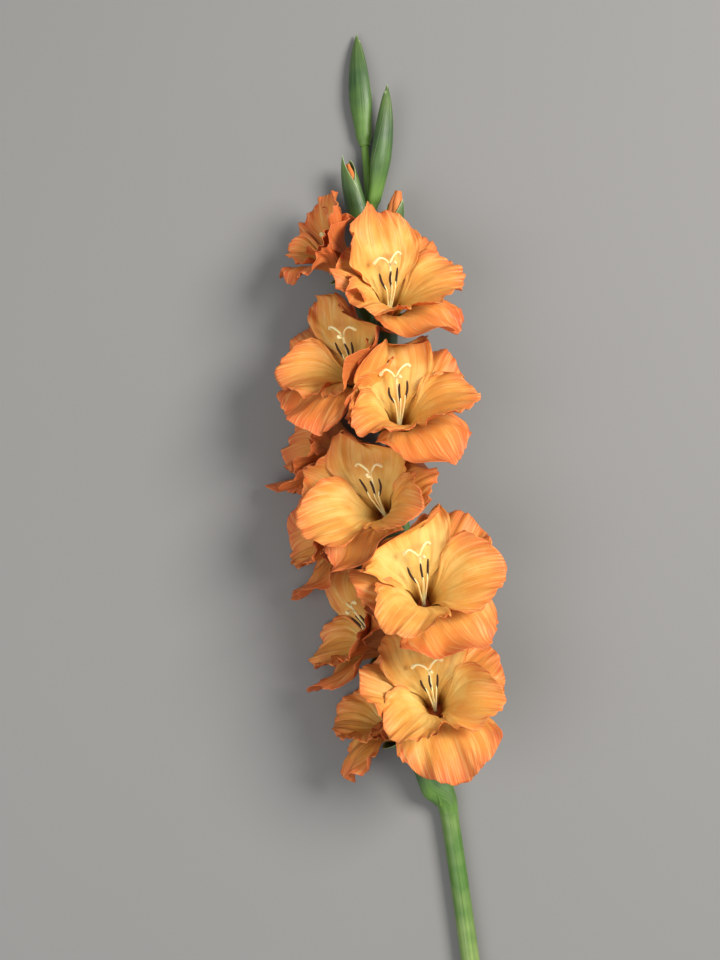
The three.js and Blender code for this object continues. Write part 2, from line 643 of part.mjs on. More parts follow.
// The furled tepals of a bud about to open: a pointed roll with spiral pleats.
function budTepalSolid(bud) {
  const sides = 8;
  const rings = [0.2, 0.38, 0.56, 0.74, 0.89, 1].map((s) => {
    const place = s * bud.show;
    const inSpathe = budRadius(bud, place) - BRACT_THICKNESS - 1;
    const radius = inSpathe * (1 - 0.75 * smooth(0.6, 1, s) ** 1.5);
    return Array.from({ length: sides }, (_, k) => {
      const pleat = radius * (1 - 0.12 * (k % 2) * smooth(0.1, 0.6, s));
      return budPoint(bud, place, (2 * Math.PI * k) / sides + 1.6 * s, pleat);
    });
  });
  return ringSolid(rings);
}

// The plant

function meshOf(name, solid, colour, roughness) {
  const { vertProperties, triVerts } = solid.getMesh();
  const geometry = new THREE.BufferGeometry();
  geometry.setAttribute("position", new THREE.BufferAttribute(new Float32Array(vertProperties), 3));
  geometry.setIndex(new THREE.BufferAttribute(new Uint32Array(triVerts), 1));
  geometry.computeVertexNormals();
  const material = new THREE.MeshStandardMaterial({ color: colour, roughness, metalness: 0 });
  const mesh = new THREE.Mesh(geometry, material);
  mesh.name = name;
  return mesh;
}

const spike = new THREE.Group();
const stemSpace = stemSolid(NODE_GAP);
const table = tableSlab();
spike.add(meshOf("stem", stemSolid(), COLOURS.stem, 0.5));

const florets = FLORETS.map(placeFloret);
partFlorets(florets);
for (const floret of florets) {
  const number = String(floret.i + 1).padStart(2, "0");
  const perianth = perianthSolid(floret, table);
  spike.add(meshOf(`floret_${number}_tepals`, perianth, COLOURS.tepals, 0.55));
  spike.add(meshOf(`floret_${number}_stamens_style`, stamenSolid(floret), COLOURS.stamens, 0.5));
  spike.add(meshOf(`floret_${number}_spathe`, spatheSolid(floret, stemSpace, table), COLOURS.spathe, 0.5));
}

BUDS.forEach((spec, k) => {
  const i = FLORETS.length + k;
  const bud = placeBud(spec, i);
  const number = String(i + 1).padStart(2, "0");
  const spathe = budSpatheSolid(bud, stemSpace, table);
  spike.add(meshOf(`bud_${number}_spathe`, spathe, COLOURS.spathe, 0.5));
  if (bud.show) spike.add(meshOf(`bud_${number}_tepals`, budTepalSolid(bud), COLOURS.tepals, 0.55));
});

// The origin is the middle of the plant's own box, on the table.
const whole = new THREE.Box3().setFromObject(spike, true);
const middle = whole.getCenter(V(0, 0, 0));
spike.position.set(-middle.x, -middle.y, 0);

export default spike;
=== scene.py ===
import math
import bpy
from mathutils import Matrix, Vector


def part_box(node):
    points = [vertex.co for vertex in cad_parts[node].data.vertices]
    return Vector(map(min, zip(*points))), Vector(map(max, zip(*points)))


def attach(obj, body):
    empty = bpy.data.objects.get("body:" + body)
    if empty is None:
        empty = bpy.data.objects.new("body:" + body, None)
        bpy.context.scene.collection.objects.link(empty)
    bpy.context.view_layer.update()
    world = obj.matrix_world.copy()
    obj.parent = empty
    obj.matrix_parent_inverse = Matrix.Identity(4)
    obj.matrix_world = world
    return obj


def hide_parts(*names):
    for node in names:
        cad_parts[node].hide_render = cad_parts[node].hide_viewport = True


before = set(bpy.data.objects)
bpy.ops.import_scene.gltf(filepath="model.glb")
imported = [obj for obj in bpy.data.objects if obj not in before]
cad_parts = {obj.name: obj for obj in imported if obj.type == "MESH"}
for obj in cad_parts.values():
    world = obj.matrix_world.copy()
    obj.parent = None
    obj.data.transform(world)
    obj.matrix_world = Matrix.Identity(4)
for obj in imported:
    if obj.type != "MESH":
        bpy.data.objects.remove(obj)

# A cut gladiolus spike lying on its back, seen from above: the fine surfaces of its stem, florets, bracts and
# buds. Lengths below are millimetres unless a name says otherwise. They are worked out in the spike's own
# frame, with the cut end at y = 0 and the stem running along +Y, and moved into the model's frame at the end.

from types import SimpleNamespace

import bpy
import numpy as np
from mathutils import Matrix, Vector

bl_info = {
    "name": "Gladiolus",
    "version": (1, 0, 0),
    "blender": (4, 5, 0),
    "location": "View3D > Sidebar > Gladiolus",
    "description": "A cut gladiolus spike with ruffled florets, bracts and buds",
    "category": "Add Mesh",
}

# The stem
PLANT_LENGTH = 757
STEM_TOP = 681
CUT_END_RADIUS = 7.2
FIRST_FLORET_RADIUS = 6.6
STEM_TOP_RADIUS = 1.9
STEM_BOW = 10
STEM_LIFT = 8
STEM_ROUNDNESS = math.cos(math.pi / 10)  # the round stem touches the surface where a ten-sided one does
SWELLING, SWELLING_LENGTH, SWELLING_BELOW = 0.35, 5, 4  # of the stem at each seat
BUD_STEM_EXTRA, BUD_STEM_START, BUD_STEM_FULL = 0.8, 560, 620  # the stem's extra radius between the buds

# An open floret
SIDE_FACE = 76  # degrees from straight up, for the florets that look most to the side
SEAT_HEIGHT = 1.2
TUBE_START_ALONG, TUBE_START_OUT, TUBE_END_STRAIGHT = 14, 6, 13
TUBE_LENGTH = 42
TUBE_RADIUS = 3.4
TUBE_END_RADIUS = 6
FUNNEL_DEPTH = 28
FUNNEL_SPREAD = 14
FUNNEL_FLOOR = 0.07  # how far the tube's end stands up in the funnel, as a share of the tube's length
INNER_BASE = 4.2
OUTER_BASE = 5.6
TIP_ROUNDING = 0.25
TIP_NARROWING = 0.07
JOINED_SHARE = 1.35
RUFFLE_WAVES = 11
FREE_START, FREE_FULL = 0.35, 0.75  # where along a tepal it begins to part from the others, and is free
FAN_START, FAN_LENGTH = 0.36, 78  # the ruffles fan out from this share of a tepal, over this length
KEEL_WIDTH = 1.5

# What the tepals of a shut floret have in place of, or times, an open one's numbers
SHUT_REACH = 0.42
SHUT_RISE = 34
SHUT_CUP = 0.05
SHUT_RUFFLE = 1.2
SHUT_WIDTH = 0.4
SHUT_STAMENS = 0.1

# Stamens and style. A point is given by how far it stands aside, up towards the dorsal tepal, and forwards
# from the funnel's floor
STAMEN_LEAN = 5
FILAMENT_RADIUS, FILAMENT_TIP_RADIUS = 0.75, 0.4
FILAMENT = ((0.6, 4.2, 21), (0.86, 7.2, 26))  # aside as a share of the lean
ANTHER_LOW, ANTHER_HIGH = (0.72, 5.0, 22.6), (1.35, 11.4, 34.5)  # the same
STYLE_MIDDLE, STYLE_TIP = (0, 5.5, 20), (0.5, 14.5, 37)
BRANCH_LEANS = ((-6, 3.5), (0.6, -3), (6, 3.5))  # how far each branch leans aside and up
# a branch's points: shares of both leans, how far they are past the tip, and whether the curl acts on them
BRANCH = ((0.45, 0.6, 3.5, 0), (1.05, 1.1, 5.6, 0), (1.5, 1.2, 4.8, 1), (1.55, 1.0, 2.4, 1))

# Bracts, whose feet, lengths and notch are shares of the tube's length, and buds
STEM_PER_TUBE = 60  # how far down the stem a foot goes for one such length below the seat
OUTER_FOOT = -0.14
INNER_FOOT = 0.02
TUBE_SHOWN_FROM = 0.26  # the tube begins here, inside the bracts
OUTER_BRACT_LENGTH = 1.34
INNER_BRACT_LENGTH = 1.16
BRACT_NOTCH = 1.04
BRACT_GAP = 1.15
BRACT_LAP = 0.8
BRACT_THICKNESS = 0.8
HALF_BRACT = BRACT_THICKNESS / 2
OUTER_BRACT_SPAN = 105  # degrees to either side
BUD_LENGTH = 76
BUD_RADIUS = 7.4
BUD_FLATNESS = 0.82
BUD_BEND = 0.0011

# How petals keep clear of what lies next to them
HEART_HEIGHT = 10
NEIGHBOUR_CLEAR = 2.1
SPATHE_CLEAR = 3.4
SPATHE_BEADS = 0.1 + 0.165 * np.arange(8)  # where the beads sit that stand for a spathe
RIDGE_WIDTH = 4.5
LAP = {1: 0.25, 2: 0.2}  # how far the plane tips between florets next to each other and next but one
TABLE_CLEAR = 0.8
WAVE_HEIGHT = 3.5
WAVE_RATE = 0.17
BEND_SOFTNESS = 2.8
BEND_SLIDE = 0.5


def table(names, *rows):
    """A list with the values of each row under the columns' names."""
    return [dict(zip(names.split(), row)) for row in rows]


# Florets from the lowest up: the seat on the stem, how far the tube reaches out of the stem and along it,
# the way each one looks, from straight up, with minus being left, how far it looks towards the tip, its turn
# about its own axis, its size and how far it is open
FLORETS = table(
    "seat reach rise face tilt roll size open",
    (203, 18, 60, -60, 44, 14, 0.9, 0.96),
    (232, 19, 42, 2, 32, -6, 1.03, 0.96),
    (266, 13, 56, -74, 34, -8, 0.96, 0.98),
    (297, 20, 46, 9, 32, -14, 1.14, 1.0),
    (334, 18, 58, -76, 30, 8, 1.0, 1.0),
    (366, 20, 42, -20, 28, 12, 1.06, 1.0),
    (400, 15, 58, -76, 34, 8, 0.97, 0.97),
    (430, 20, 37, 12, 34, -8, 1.06, 1.0),
    (466, 21, 38, -30, 32, 10, 1.02, 0.96),
    (500, 20, 49, 16, 34, -18, 1.0, 0.94),
    (540, 20, 48, -46, 42, 0, 0.84, 0.42),
)

# Buds above them: show is how far the furled tepals reach, and gape how wide the spathe stands at its tip
BUDS = table(
    "seat face lean length show gape on_top",
    (580, 48, 26, 0.86, 1.0, 0.75, False),
    (602, -50, 17, 1.0, 0.82, 0.2, False),
    (636, 56, 18, 1.12, 0, 0, False),
    (681, -20, 3, 1.0, 0, 0, True),
)

# Tepals: angle is the place round the flower, reach and rise where the tip stands, cup the curve across it,
# and tone how deep its orange is
TEPALS = table(
    "angle inner reach rise half_width cup ruffle tone",
    (34, False, 50, 11, 33, 0.006, 4.6, 0.4),
    (146, False, 50, 11, 33, 0.006, 4.6, 0.4),
    (270, False, 60, 1, 36, -0.002, 5.0, 0.8),
    (90, True, 62, 22, 36, 0.012, 4.0, 0.1),
    (208, True, 46, 13, 28, 0.02, 3.2, 0.2),
    (332, True, 46, 13, 28, 0.02, 3.2, 0.2),
)

UP = np.array([0.0, 0.0, 1.0])
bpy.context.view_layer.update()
STEM_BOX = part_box("stem")
# from the spike's own frame to the model's: the cut end is at the stem's right side and least y
SHIFT = np.array([STEM_BOX[1].x * 1000 - CUT_END_RADIUS, STEM_BOX[0].y * 1000, 0.0])


# Small helpers


def linear(hex_colour):
    """A colour as Blender wants it, from an sRGB hex value."""
    channels = [int(hex_colour[i : i + 2], 16) / 255 for i in (1, 3, 5)]
    return tuple(c / 12.92 if c <= 0.04045 else ((c + 0.055) / 1.055) ** 2.4 for c in channels)


def smooth(low, high, x):
    """0 below low, 1 above high, and 3x^2 - 2x^3 of the way between."""
    x = np.clip((np.asarray(x, float) - low) / (high - low), 0, 1)
    return x * x * (3 - 2 * x)


def mix(a, b, share):
    """The value a share of the way from a to b."""
    return a + (b - a) * share


def dot(a, b):
    """The dot products of vectors, on a last axis of one."""
    return np.sum(a * b, axis=-1, keepdims=True)


def unit(v):
    """Vectors divided by their lengths."""
    return v / np.linalg.norm(v, axis=-1, keepdims=True)


def across(direction, axis):
    """What is left of a direction across an axis, as a unit vector."""
    return unit(direction - dot(direction, axis) * axis)


def draw(i, k):
    """A repeatable draw from -1 to 1 for item k of floret i."""
    v = math.sin(i * 127.1 + k * 311.7 + 74.7) * 43758.5453
    return 2 * (v - math.floor(v)) - 1


def bezier(controls, u):
    """A cubic Bezier curve through four control values or points at u, which may be an array."""
    r = 1 - u
    weights = [r**3, 3 * r * r * u, 3 * r * u * u, u**3]
    if np.ndim(controls[0]):
        weights = [w[..., None] for w in np.broadcast_arrays(*weights)]
    return sum(w * c for w, c in zip(weights, controls))


def curve_through(points, count):
    """count points of the smooth curve through a few: a Catmull-Rom spline, with straight ends."""
    points = np.asarray(points, float)
    padded = np.vstack([2 * points[0] - points[1], points, 2 * points[-1] - points[-2]])
    place = np.linspace(0, len(points) - 1 - 1e-9, count)
    k = place.astype(int)
    u = (place - k)[:, None]
    a, b, c, d = (padded[k + j] for j in range(4))
    return 0.5 * (2 * b + (c - a) * u + (2 * a - 5 * b + 4 * c - d) * u**2 + (3 * b - a - 3 * c + d) * u**3)


def round_at(centre, first, second, radius, angle, flat=1.0):
    """Points round a centre: first * flat * radius * cos(angle) + second * radius * sin(angle) from it."""
    first = first * (radius * np.cos(angle) * flat)[..., None]
    return centre + first + second * (radius * np.sin(angle))[..., None]


# Meshes from grids


def sheet_grid(rows, columns):
    """Two arrays: s from 0 to 1 down the rows, and t from -1 to 1 across the columns."""
    return np.meshgrid(np.linspace(0, 1, rows), np.linspace(-1, 1, columns), indexing="ij")


def round_grid(low, high, rows, sides):
    """Two arrays: s from low to high down the rows, and the share of a turn round the sides."""
    return np.meshgrid(np.linspace(low, high, rows), np.linspace(0, 1, sides, endpoint=False), indexing="ij")


def shell_uv(s, t):
    """The UV map of a shell: its width from 0 to 1 and s, the same on both faces."""
    return np.tile(np.stack([(t + 1) / 2, s], axis=-1).reshape(-1, 2), (2, 1))


def tube_uv(turn, s):
    """The UV map of a tube: the share of a turn and s, and 0 at the centres of its ends."""
    return np.concatenate([np.stack([turn, s], axis=-1).reshape(-1, 2), np.zeros((2, 2))])


def shell(points, thickness):
    """A closed thin shell round a sheet of points: each point is moved half the thickness to either side
    along the sheet's normal, which is the cross product of its two grid directions, and a rim joins both
    faces."""
    rows, columns = points.shape[:2]
    normal = unit(np.cross(np.gradient(points, axis=1), np.gradient(points, axis=0)))
    offset = normal * (np.asarray(thickness) / 2)[..., None]
    vertices = np.concatenate([(points + offset).reshape(-1, 3), (points - offset).reshape(-1, 3)])
    index = np.arange(rows * columns).reshape(rows, columns)
    corners = [index[:-1, :-1], index[:-1, 1:], index[1:, 1:], index[1:, :-1]]
    front = np.stack(corners, axis=-1).reshape(-1, 4)
    back = front[:, ::-1] + rows * columns
    border = np.concatenate([index[0, :], index[1:, -1], index[-1, -2::-1], index[-2:0:-1, 0]])
    following = np.roll(border, -1)
    rim = np.stack([following, border, border + rows * columns, following + rows * columns], axis=-1)
    return vertices, np.concatenate([front, back, rim])


def tube(points):
    """A closed tube from rings of points of shape (rings, sides, 3), with a fan at each end's centre."""
    rings, sides = points.shape[:2]
    index = np.arange(rings * sides).reshape(rings, sides)
    right = np.roll(index, -1, axis=1)
    walls = np.stack([index[:-1], right[:-1], right[1:], index[1:]], axis=-1).reshape(-1, 4)
    first, last = rings * sides, rings * sides + 1
    foot = np.stack([right[0], index[0], np.full(sides, first), np.full(sides, first)], axis=-1)
    head = np.stack([index[-1], right[-1], np.full(sides, last), np.full(sides, last)], axis=-1)
    vertices = np.concatenate([points.reshape(-1, 3), points[:1].mean(axis=1), points[-1:].mean(axis=1)])
    return vertices, np.concatenate([walls, foot, head])


def rod(centres, radii, sides, reference, flat=1.0, lobes=0.0):
    """A closed rod round a path. Its section is an ellipse flat times as thick as wide, with two lobes: the
    radius is multiplied by 1 + lobes * cos(2 * angle)."""
    along = unit(np.gradient(centres, axis=0))
    first = across(reference, along)
    second = np.cross(along, first)
    angle = np.linspace(0, 2 * np.pi, sides, endpoint=False)
    radius = np.asarray(radii)[:, None] * (1 + lobes * np.cos(2 * angle))
    return tube(round_at(centres[:, None], first[:, None], second[:, None], radius, angle, flat))


class Piece:
    """Gathers closed bodies and their vertex values, and makes one object of them."""

    def __init__(self, name):
        self.name, self.vertices, self.faces, self.materials = name, [], [], []
        self.values, self.uvs, self.count = {}, [], 0

    def add(self, body, uv=None, material=0, **values):
        """Adds a body, its UV map, its material's number and its named vertex values, which are else 0."""
        vertices, faces = body
        self.vertices.append(vertices)
        self.faces.append(faces + self.count)
        self.materials.append(np.full(len(faces), material))
        self.uvs.append(np.zeros((len(vertices), 2)) if uv is None else uv)
        for key in sorted(set(values) | set(self.values)):
            self.values.setdefault(key, [np.zeros(self.count)] if self.count else [])
            self.values[key].append(np.broadcast_to(values.get(key, 0.0), len(vertices)))
        self.count += len(vertices)

    def make(self, materials, node):
        """Makes the object, in metres and in the model's frame, standing for its CAD node."""
        vertices = (np.concatenate(self.vertices) + SHIFT) / 1000
        faces = np.concatenate(self.faces)
        pole = faces[:, 2] == faces[:, 3]
        mesh = bpy.data.meshes.new(self.name)
        mesh.vertices.add(len(vertices))
        mesh.vertices.foreach_set("co", vertices.ravel())
        sizes = np.where(pole, 3, 4)
        keep = np.ones(faces.shape, bool)
        keep[pole, 3] = False
        corners = faces[keep]
        mesh.loops.add(len(corners))
        mesh.loops.foreach_set("vertex_index", corners)
        mesh.polygons.add(len(faces))
        mesh.polygons.foreach_set("loop_start", np.concatenate([[0], np.cumsum(sizes)[:-1]]))
        mesh.update(calc_edges=True)
        uv_layer = mesh.uv_layers.new(name="UVMap")
        uv_layer.data.foreach_set("uv", np.concatenate(self.uvs)[corners].ravel())
        for key, parts in self.values.items():
            mesh.attributes.new(key, "FLOAT", "POINT").data.foreach_set("value", np.concatenate(parts))
        for material in materials:
            mesh.materials.append(material)
        mesh.polygons.foreach_set("material_index", np.concatenate(self.materials))
        mesh.polygons.foreach_set("use_smooth", np.ones(len(faces), bool))
        mesh.validate()
        mesh.update()
        piece = bpy.data.objects.new(self.name, mesh)
        bpy.context.scene.collection.objects.link(piece)
        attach(piece, "root")
        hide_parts(node)


# The stem and where things sit on it


def stem_radius(y):
    """The radius falls evenly from the cut end to the first floret, and again from there to the top."""
    y = np.asarray(y, float)
    first = FLORETS[0]["seat"]
    below = mix(CUT_END_RADIUS, FIRST_FLORET_RADIUS, y / first)
    above = mix(FIRST_FLORET_RADIUS, STEM_TOP_RADIUS, (y - first) / (STEM_TOP - first))
    return np.where(y < first, below, above)


def stem_centre(y):
    """The centre line: a squared sine bow to the left, and a height of the stem's own radius plus a lift that
    begins at the first florets and eases off towards the top bud."""
    y = np.asarray(y, float)
    share = y / PLANT_LENGTH
    bow = np.sin(np.pi * np.maximum(share, 0) ** 1.4) ** 2
    lift = smooth(0.25, 0.45, share) * (1 - 0.5 * smooth(0.62, 0.9, share))
    height = stem_radius(y) * STEM_ROUNDNESS + STEM_LIFT * lift
    return np.stack(np.broadcast_arrays(-STEM_BOW * bow, y, height), axis=-1)


def stem_frame(y):
    """Unit vectors along the stem at y, up from it and to its right."""
    along = unit(stem_centre(y + 1) - stem_centre(y - 1))
    up = across(UP, along)
    return along, up, np.cross(along, up)


# Florets


def place_floret(i, spec):
    """A floret's own axes and tube: its axis is tilted from the outward direction towards the tip, and the
    tube is a Bezier curve from its seat on the stem round to that axis."""
    y = spec["seat"]
    along, up, right = stem_frame(y)
    face, tilt, roll = (math.radians(spec[key]) for key in ("face", "tilt", "roll"))
    size = spec["size"]
    out = up * math.cos(face) + right * math.sin(face)
    axis = out * math.cos(tilt) + along * math.sin(tilt)
    seat = stem_centre(y) + out * (stem_radius(y) + SEAT_HEIGHT)
    start = seat + along * TUBE_START_ALONG + out * TUBE_START_OUT
    tube_end = seat + out * (spec["reach"] * size) + along * (spec["rise"] * size)
    upright = across(along, axis)
    sideways = np.cross(upright, axis)
    return SimpleNamespace(
        i=i,
        name=f"floret_{i + 1:02d}",
        size=size,
        open=spec["open"],
        # how far the floret looks to the left, away from the key light; it deepens its tepals' orange as
        # painted shade
        turned=max(0, -spec["face"]) / SIDE_FACE,
        y=y,
        along=along,
        out=out,
        axis=axis,
        mouth=tube_end + axis * (FUNNEL_DEPTH * size),
        dorsal=upright * math.cos(roll) + sideways * math.sin(roll),
        right=sideways * math.cos(roll) - upright * math.sin(roll),
        tube=[seat, start, tube_end - axis * TUBE_END_STRAIGHT, tube_end],
        planes=[],
        asides=[],
        ridges=[],
    )


def part_florets(florets):
    """Gives florets next to each other, or next but one, the plane between them that their tepals keep off.
    It is tipped so that the floret that looks more upwards laps over its neighbour, and in one rank the upper
    one over the lower one."""

    def heart(f):
        return f.mouth + f.axis * (HEART_HEIGHT * f.size)

    for step, lap in LAP.items():
        for low, high in zip(florets, florets[step:]):
            forward = unit(low.axis + high.axis)
            side = -1 if step == 1 and low.axis[2] > high.axis[2] else 1
            normal = unit(unit(heart(high) - heart(low)) + forward * (lap * side))
            spread = [f.size * mix(SHUT_WIDTH, 1, f.open) for f in (low, high)]
            through = mix(heart(low), heart(high), spread[0] / sum(spread))
            sway = unit(np.cross(normal, forward))
            phase = 2.1 * low.i + 1.3 * step
            high.planes.append((through, normal, NEIGHBOUR_CLEAR, sway, phase, WAVE_HEIGHT))
            low.planes.append((through, -normal, NEIGHBOUR_CLEAR, sway, phase, -WAVE_HEIGHT))
    radii = perianth_radius(SPATHE_BEADS) + SPATHE_CLEAR
    for low in florets:
        for k, above in enumerate(florets[low.i + 1 : low.i + 4]):
            spathe = SimpleNamespace(beads=tube_line(above, SPATHE_BEADS), radii=radii, out=above.out)
            (low.ridges if k == 1 else low.asides).append(spathe)


def bend_away(points, floret, planes, share):
    """Moves points off each plane by the soft amount log(1 + exp(depth / softness)) * softness, and outwards
    along the plane by part of that, as a petal bends along what it presses on. A plane between two florets
    waves by a sine along it, the same for both."""
    for through, normal, clear, sway, phase, wave in planes:
        waved = wave * np.sin(WAVE_RATE * dot(points - through, sway) + phase)
        height = dot(points - through, normal) - waved
        push = BEND_SOFTNESS * np.log1p(np.exp((clear - height) / BEND_SOFTNESS)) * share[..., None]
        outward = across(points - floret.mouth, normal)
        points = points + normal * push + outward * push * BEND_SLIDE
    return points


def bend_round(points, spathes, share):
    """Moves points off the spathes of the other rank's florets, each one a row of soft beads along its tube.
    A bead weighs exp((radius - distance) / softness), the push is softness * log(1 + the weights' sum), and
    it points away from the beads in the proportion of their weights."""
    if not spathes:
        return points
    away = points[..., None, :] - np.concatenate([spathe.beads for spathe in spathes])
    radii = np.concatenate([spathe.radii for spathe in spathes])
    distance = np.linalg.norm(away, axis=-1)
    weight = np.exp((radii - distance) / BEND_SOFTNESS)
    direction = unit(np.sum(away * (weight / distance + 1e-30)[..., None], axis=-2))
    push = BEND_SOFTNESS * np.log1p(weight.sum(axis=-1)) * share
    return points + direction * push[..., None]


def bend_over(points, spathes, share):
    """Lifts points over the spathe of the floret above in their own rank, as over the ridge of a tent. The
    tent stands a bead's radius high and falls by the squared distance aside over RIDGE_WIDTH radii."""
    for spathe in spathes:
        away = points[..., None, :] - spathe.beads
        height = np.sum(away * spathe.out, axis=-1)
        aside = np.sum(away**2, axis=-1) - height**2
        depth = spathe.radii - aside / (RIDGE_WIDTH * spathe.radii) - height
        push = BEND_SOFTNESS * np.log1p(np.exp(depth / BEND_SOFTNESS).sum(axis=-1)) * share
        points = points + spathe.out * push[..., None]
    return points


def tepal_of(floret, k):
    """The numbers of tepal k in a floret that may be half open, each drawn a little off the rule. A shoulder
    is the third control of the midline's Bezier curve: a share of the reach, a share of the rise and
    millimetres forwards. The lift raises the inner tepals' edges and lowers the outer ones'."""
    rule = SimpleNamespace(**TEPALS[k])
    i, opened, size = floret.i, floret.open, floret.size
    return SimpleNamespace(
        cells=(56, 50) if rule.half_width > 30 else (44, 38),
        angle=math.radians(rule.angle + 7 * draw(i, 10 + k)),
        base=INNER_BASE if rule.inner else OUTER_BASE,
        shoulder=(0.34, 0.4, 10) if rule.inner else (0.38, 0.38, 10),
        lift=0.7 if rule.inner else -0.85,
        reach=rule.reach * size * mix(SHUT_REACH, 1, opened) * (1 + 0.06 * draw(i, 20 + k)),
        rise=mix(SHUT_RISE, rule.rise, opened) * size + 4.5 * draw(i, 30 + k),
        half_width=rule.half_width * size * (1 + 0.06 * draw(i, 40 + k)),
        cup=mix(SHUT_CUP, rule.cup, opened) + 0.004 * draw(i, 50 + k),
        ruffle=rule.ruffle * mix(SHUT_RUFFLE, 1, opened),
        phase=math.pi * draw(i, 60 + k),
        twist=math.radians(14 * draw(i, 70 + k)),
        sway=5 * draw(i, 100 + k),
        clear=TABLE_CLEAR + 1.2 * rule.inner + 0.4 * (k % 3),
        # florets turned to the left get a deeper orange: painted shade on the side away from the key light
        tone=rule.tone + 0.05 * i + 0.4 * floret.turned**2 + 0.15 * draw(i, 90 + k),
    )


def tepal_relief(tepal, s, t, x, fan, sizes):
    """How high a tepal's ruffles, frill, flutes and keel stand, how far its edge goes in and out, and how
    deeply it is creased. Sine waves in the fan angle ruffle it, more towards the edge: the broad ruffle, a
    finer frill near the very edge, whose phase wanders, and shallow flutes, which are sines across it, over
    the whole blade. The keel is a bell curve across the middle. The edge's notches are sines too."""
    phase = tepal.phase
    edge = 1 - (1 - np.abs(t) ** 2.4) * (1 - s**5)
    wave = np.sin(RUFFLE_WAVES * fan + phase) * (0.7 + 0.3 * np.sin(2 * fan + 2 * phase))
    ruffle = tepal.ruffle * edge * smooth(0.4, 0.8, s) * (wave + tepal.lift)

    free_part = smooth(FREE_START, FREE_FULL, s)
    frill_edge = 1 - (1 - t**6) * (1 - s**9)
    wander = 2.4 * np.sin(4.3 * fan + 3 * phase) + 1.1 * np.sin(11 * fan - phase)
    frill = np.sin(2.6 * RUFFLE_WAVES * fan + 5 * phase + wander)
    frill = frill + 0.3 * np.sin(5.1 * RUFFLE_WAVES * fan + 9 * phase - 1.7 * wander)
    frill = sizes.frill * free_part * frill_edge * frill
    notch = 0.4 * sizes.frill * free_part * np.sin(2.9 * RUFFLE_WAVES * fan + 3 * phase + 1.4 * wander)

    creases = 0.5 * np.sin(19 * t + 2.1 * phase + 1.1 * s) + 0.4 * np.sin(31 * t + 4.3 * phase - 2 * s)
    creases = creases + 0.35 * np.sin(47 * t + 7.7 * phase)
    flutes = sizes.flute * smooth(0.3, 0.8, s + 0.25 * t * t) * creases
    keel = -sizes.keel * np.exp(-((x / KEEL_WIDTH) ** 2))
    keel = keel * smooth(0.12, 0.35, s) * (1 - smooth(0.75, 0.95, s))
    return ruffle + frill + flutes + keel, notch, creases


def tepal_surface(floret, tepal, s, t, sizes):
    """A tepal's middle surface at s along it and t across it. The midline is a Bezier curve in the plane of
    the flower's axis: rho is the distance from the axis and zeta the height along it. Across, the surface is
    an arc that follows the funnel's cone below and the tepal's own cup above, and the relief stands on it.
    Then it bends clear of what lies next to it. The half width is the smaller of the tepal's own and its part
    of the funnel's girth, joined by a sixth-power mean."""
    size = floret.size
    depth = FUNNEL_DEPTH * size
    u = s * (1 - TIP_ROUNDING * t * t * s * s)
    outwards, upwards, forwards = tepal.shoulder
    rhos = (tepal.base, tepal.base + 2.6, outwards * tepal.reach, tepal.reach)
    zetas = (-depth, -depth * 0.46, upwards * tepal.rise + forwards * size, tepal.rise)
    rho, zeta = bezier(rhos, u), bezier(zetas, u)
    rho_slope = (bezier(rhos, u + 1e-4) - rho) * 1e4
    zeta_slope = (bezier(zetas, u + 1e-4) - zeta) * 1e4
    slope = np.hypot(rho_slope, zeta_slope)
    sine, cosine = rho_slope / slope, zeta_slope / slope

    outward = floret.right * math.cos(tepal.angle) + floret.dorsal * math.sin(tepal.angle)
    around = floret.dorsal * math.cos(tepal.angle) - floret.right * math.sin(tepal.angle)
    inward = floret.axis * sine[..., None] - outward * cosine[..., None]
    twist = (tepal.twist * smooth(0.4, 1, s))[..., None]
    lateral = around * np.cos(twist) + inward * np.sin(twist)
    facing = inward * np.cos(twist) - around * np.sin(twist)

    free = tepal.half_width * (1 - TIP_NARROWING * np.maximum(0, (s - 0.7) / 0.3) ** 2)
    joined = (math.pi / 3) * rho * mix(0.72, JOINED_SHARE, smooth(7, 20, rho))
    half_width = (free**-6 + joined**-6) ** (-1 / 6)
    bend = mix(cosine / rho, tepal.cup, smooth(0.3, 0.85, u))
    bend = np.where(np.abs(bend) < 1e-6, 1e-6, bend)
    x = half_width * t
    arc = bend * x
    sideways = np.sin(arc) / bend + tepal.sway * smooth(0.3, 1, s) * s
    lifted = (1 - np.cos(arc)) / bend

    fan = np.arctan2(x, FAN_LENGTH * size * (u - FAN_START))
    height, notch, creases = tepal_relief(tepal, s, t, x, fan, sizes)
    ahead = outward * sine[..., None] + floret.axis * cosine[..., None]
    points = (
        floret.mouth
        + outward * rho[..., None]
        + floret.axis * zeta[..., None]
        + lateral * (sideways - height * np.sin(arc) + notch * t**5)[..., None]
        + facing * (lifted + height * np.cos(arc))[..., None]
        + ahead * (notch * s**12)[..., None]
    )
    tabletop = (np.zeros(3), UP, tepal.clear, UP, 0, 0)
    free_part = smooth(FREE_START, FREE_FULL, s)
    blade = smooth(0.3, 0.5, s)
    points = bend_away(points, floret, floret.planes, free_part)
    points = bend_round(points, floret.asides, blade)
    points = bend_over(points, floret.ridges, blade)
    return bend_away(points, floret, [tabletop], free_part), creases


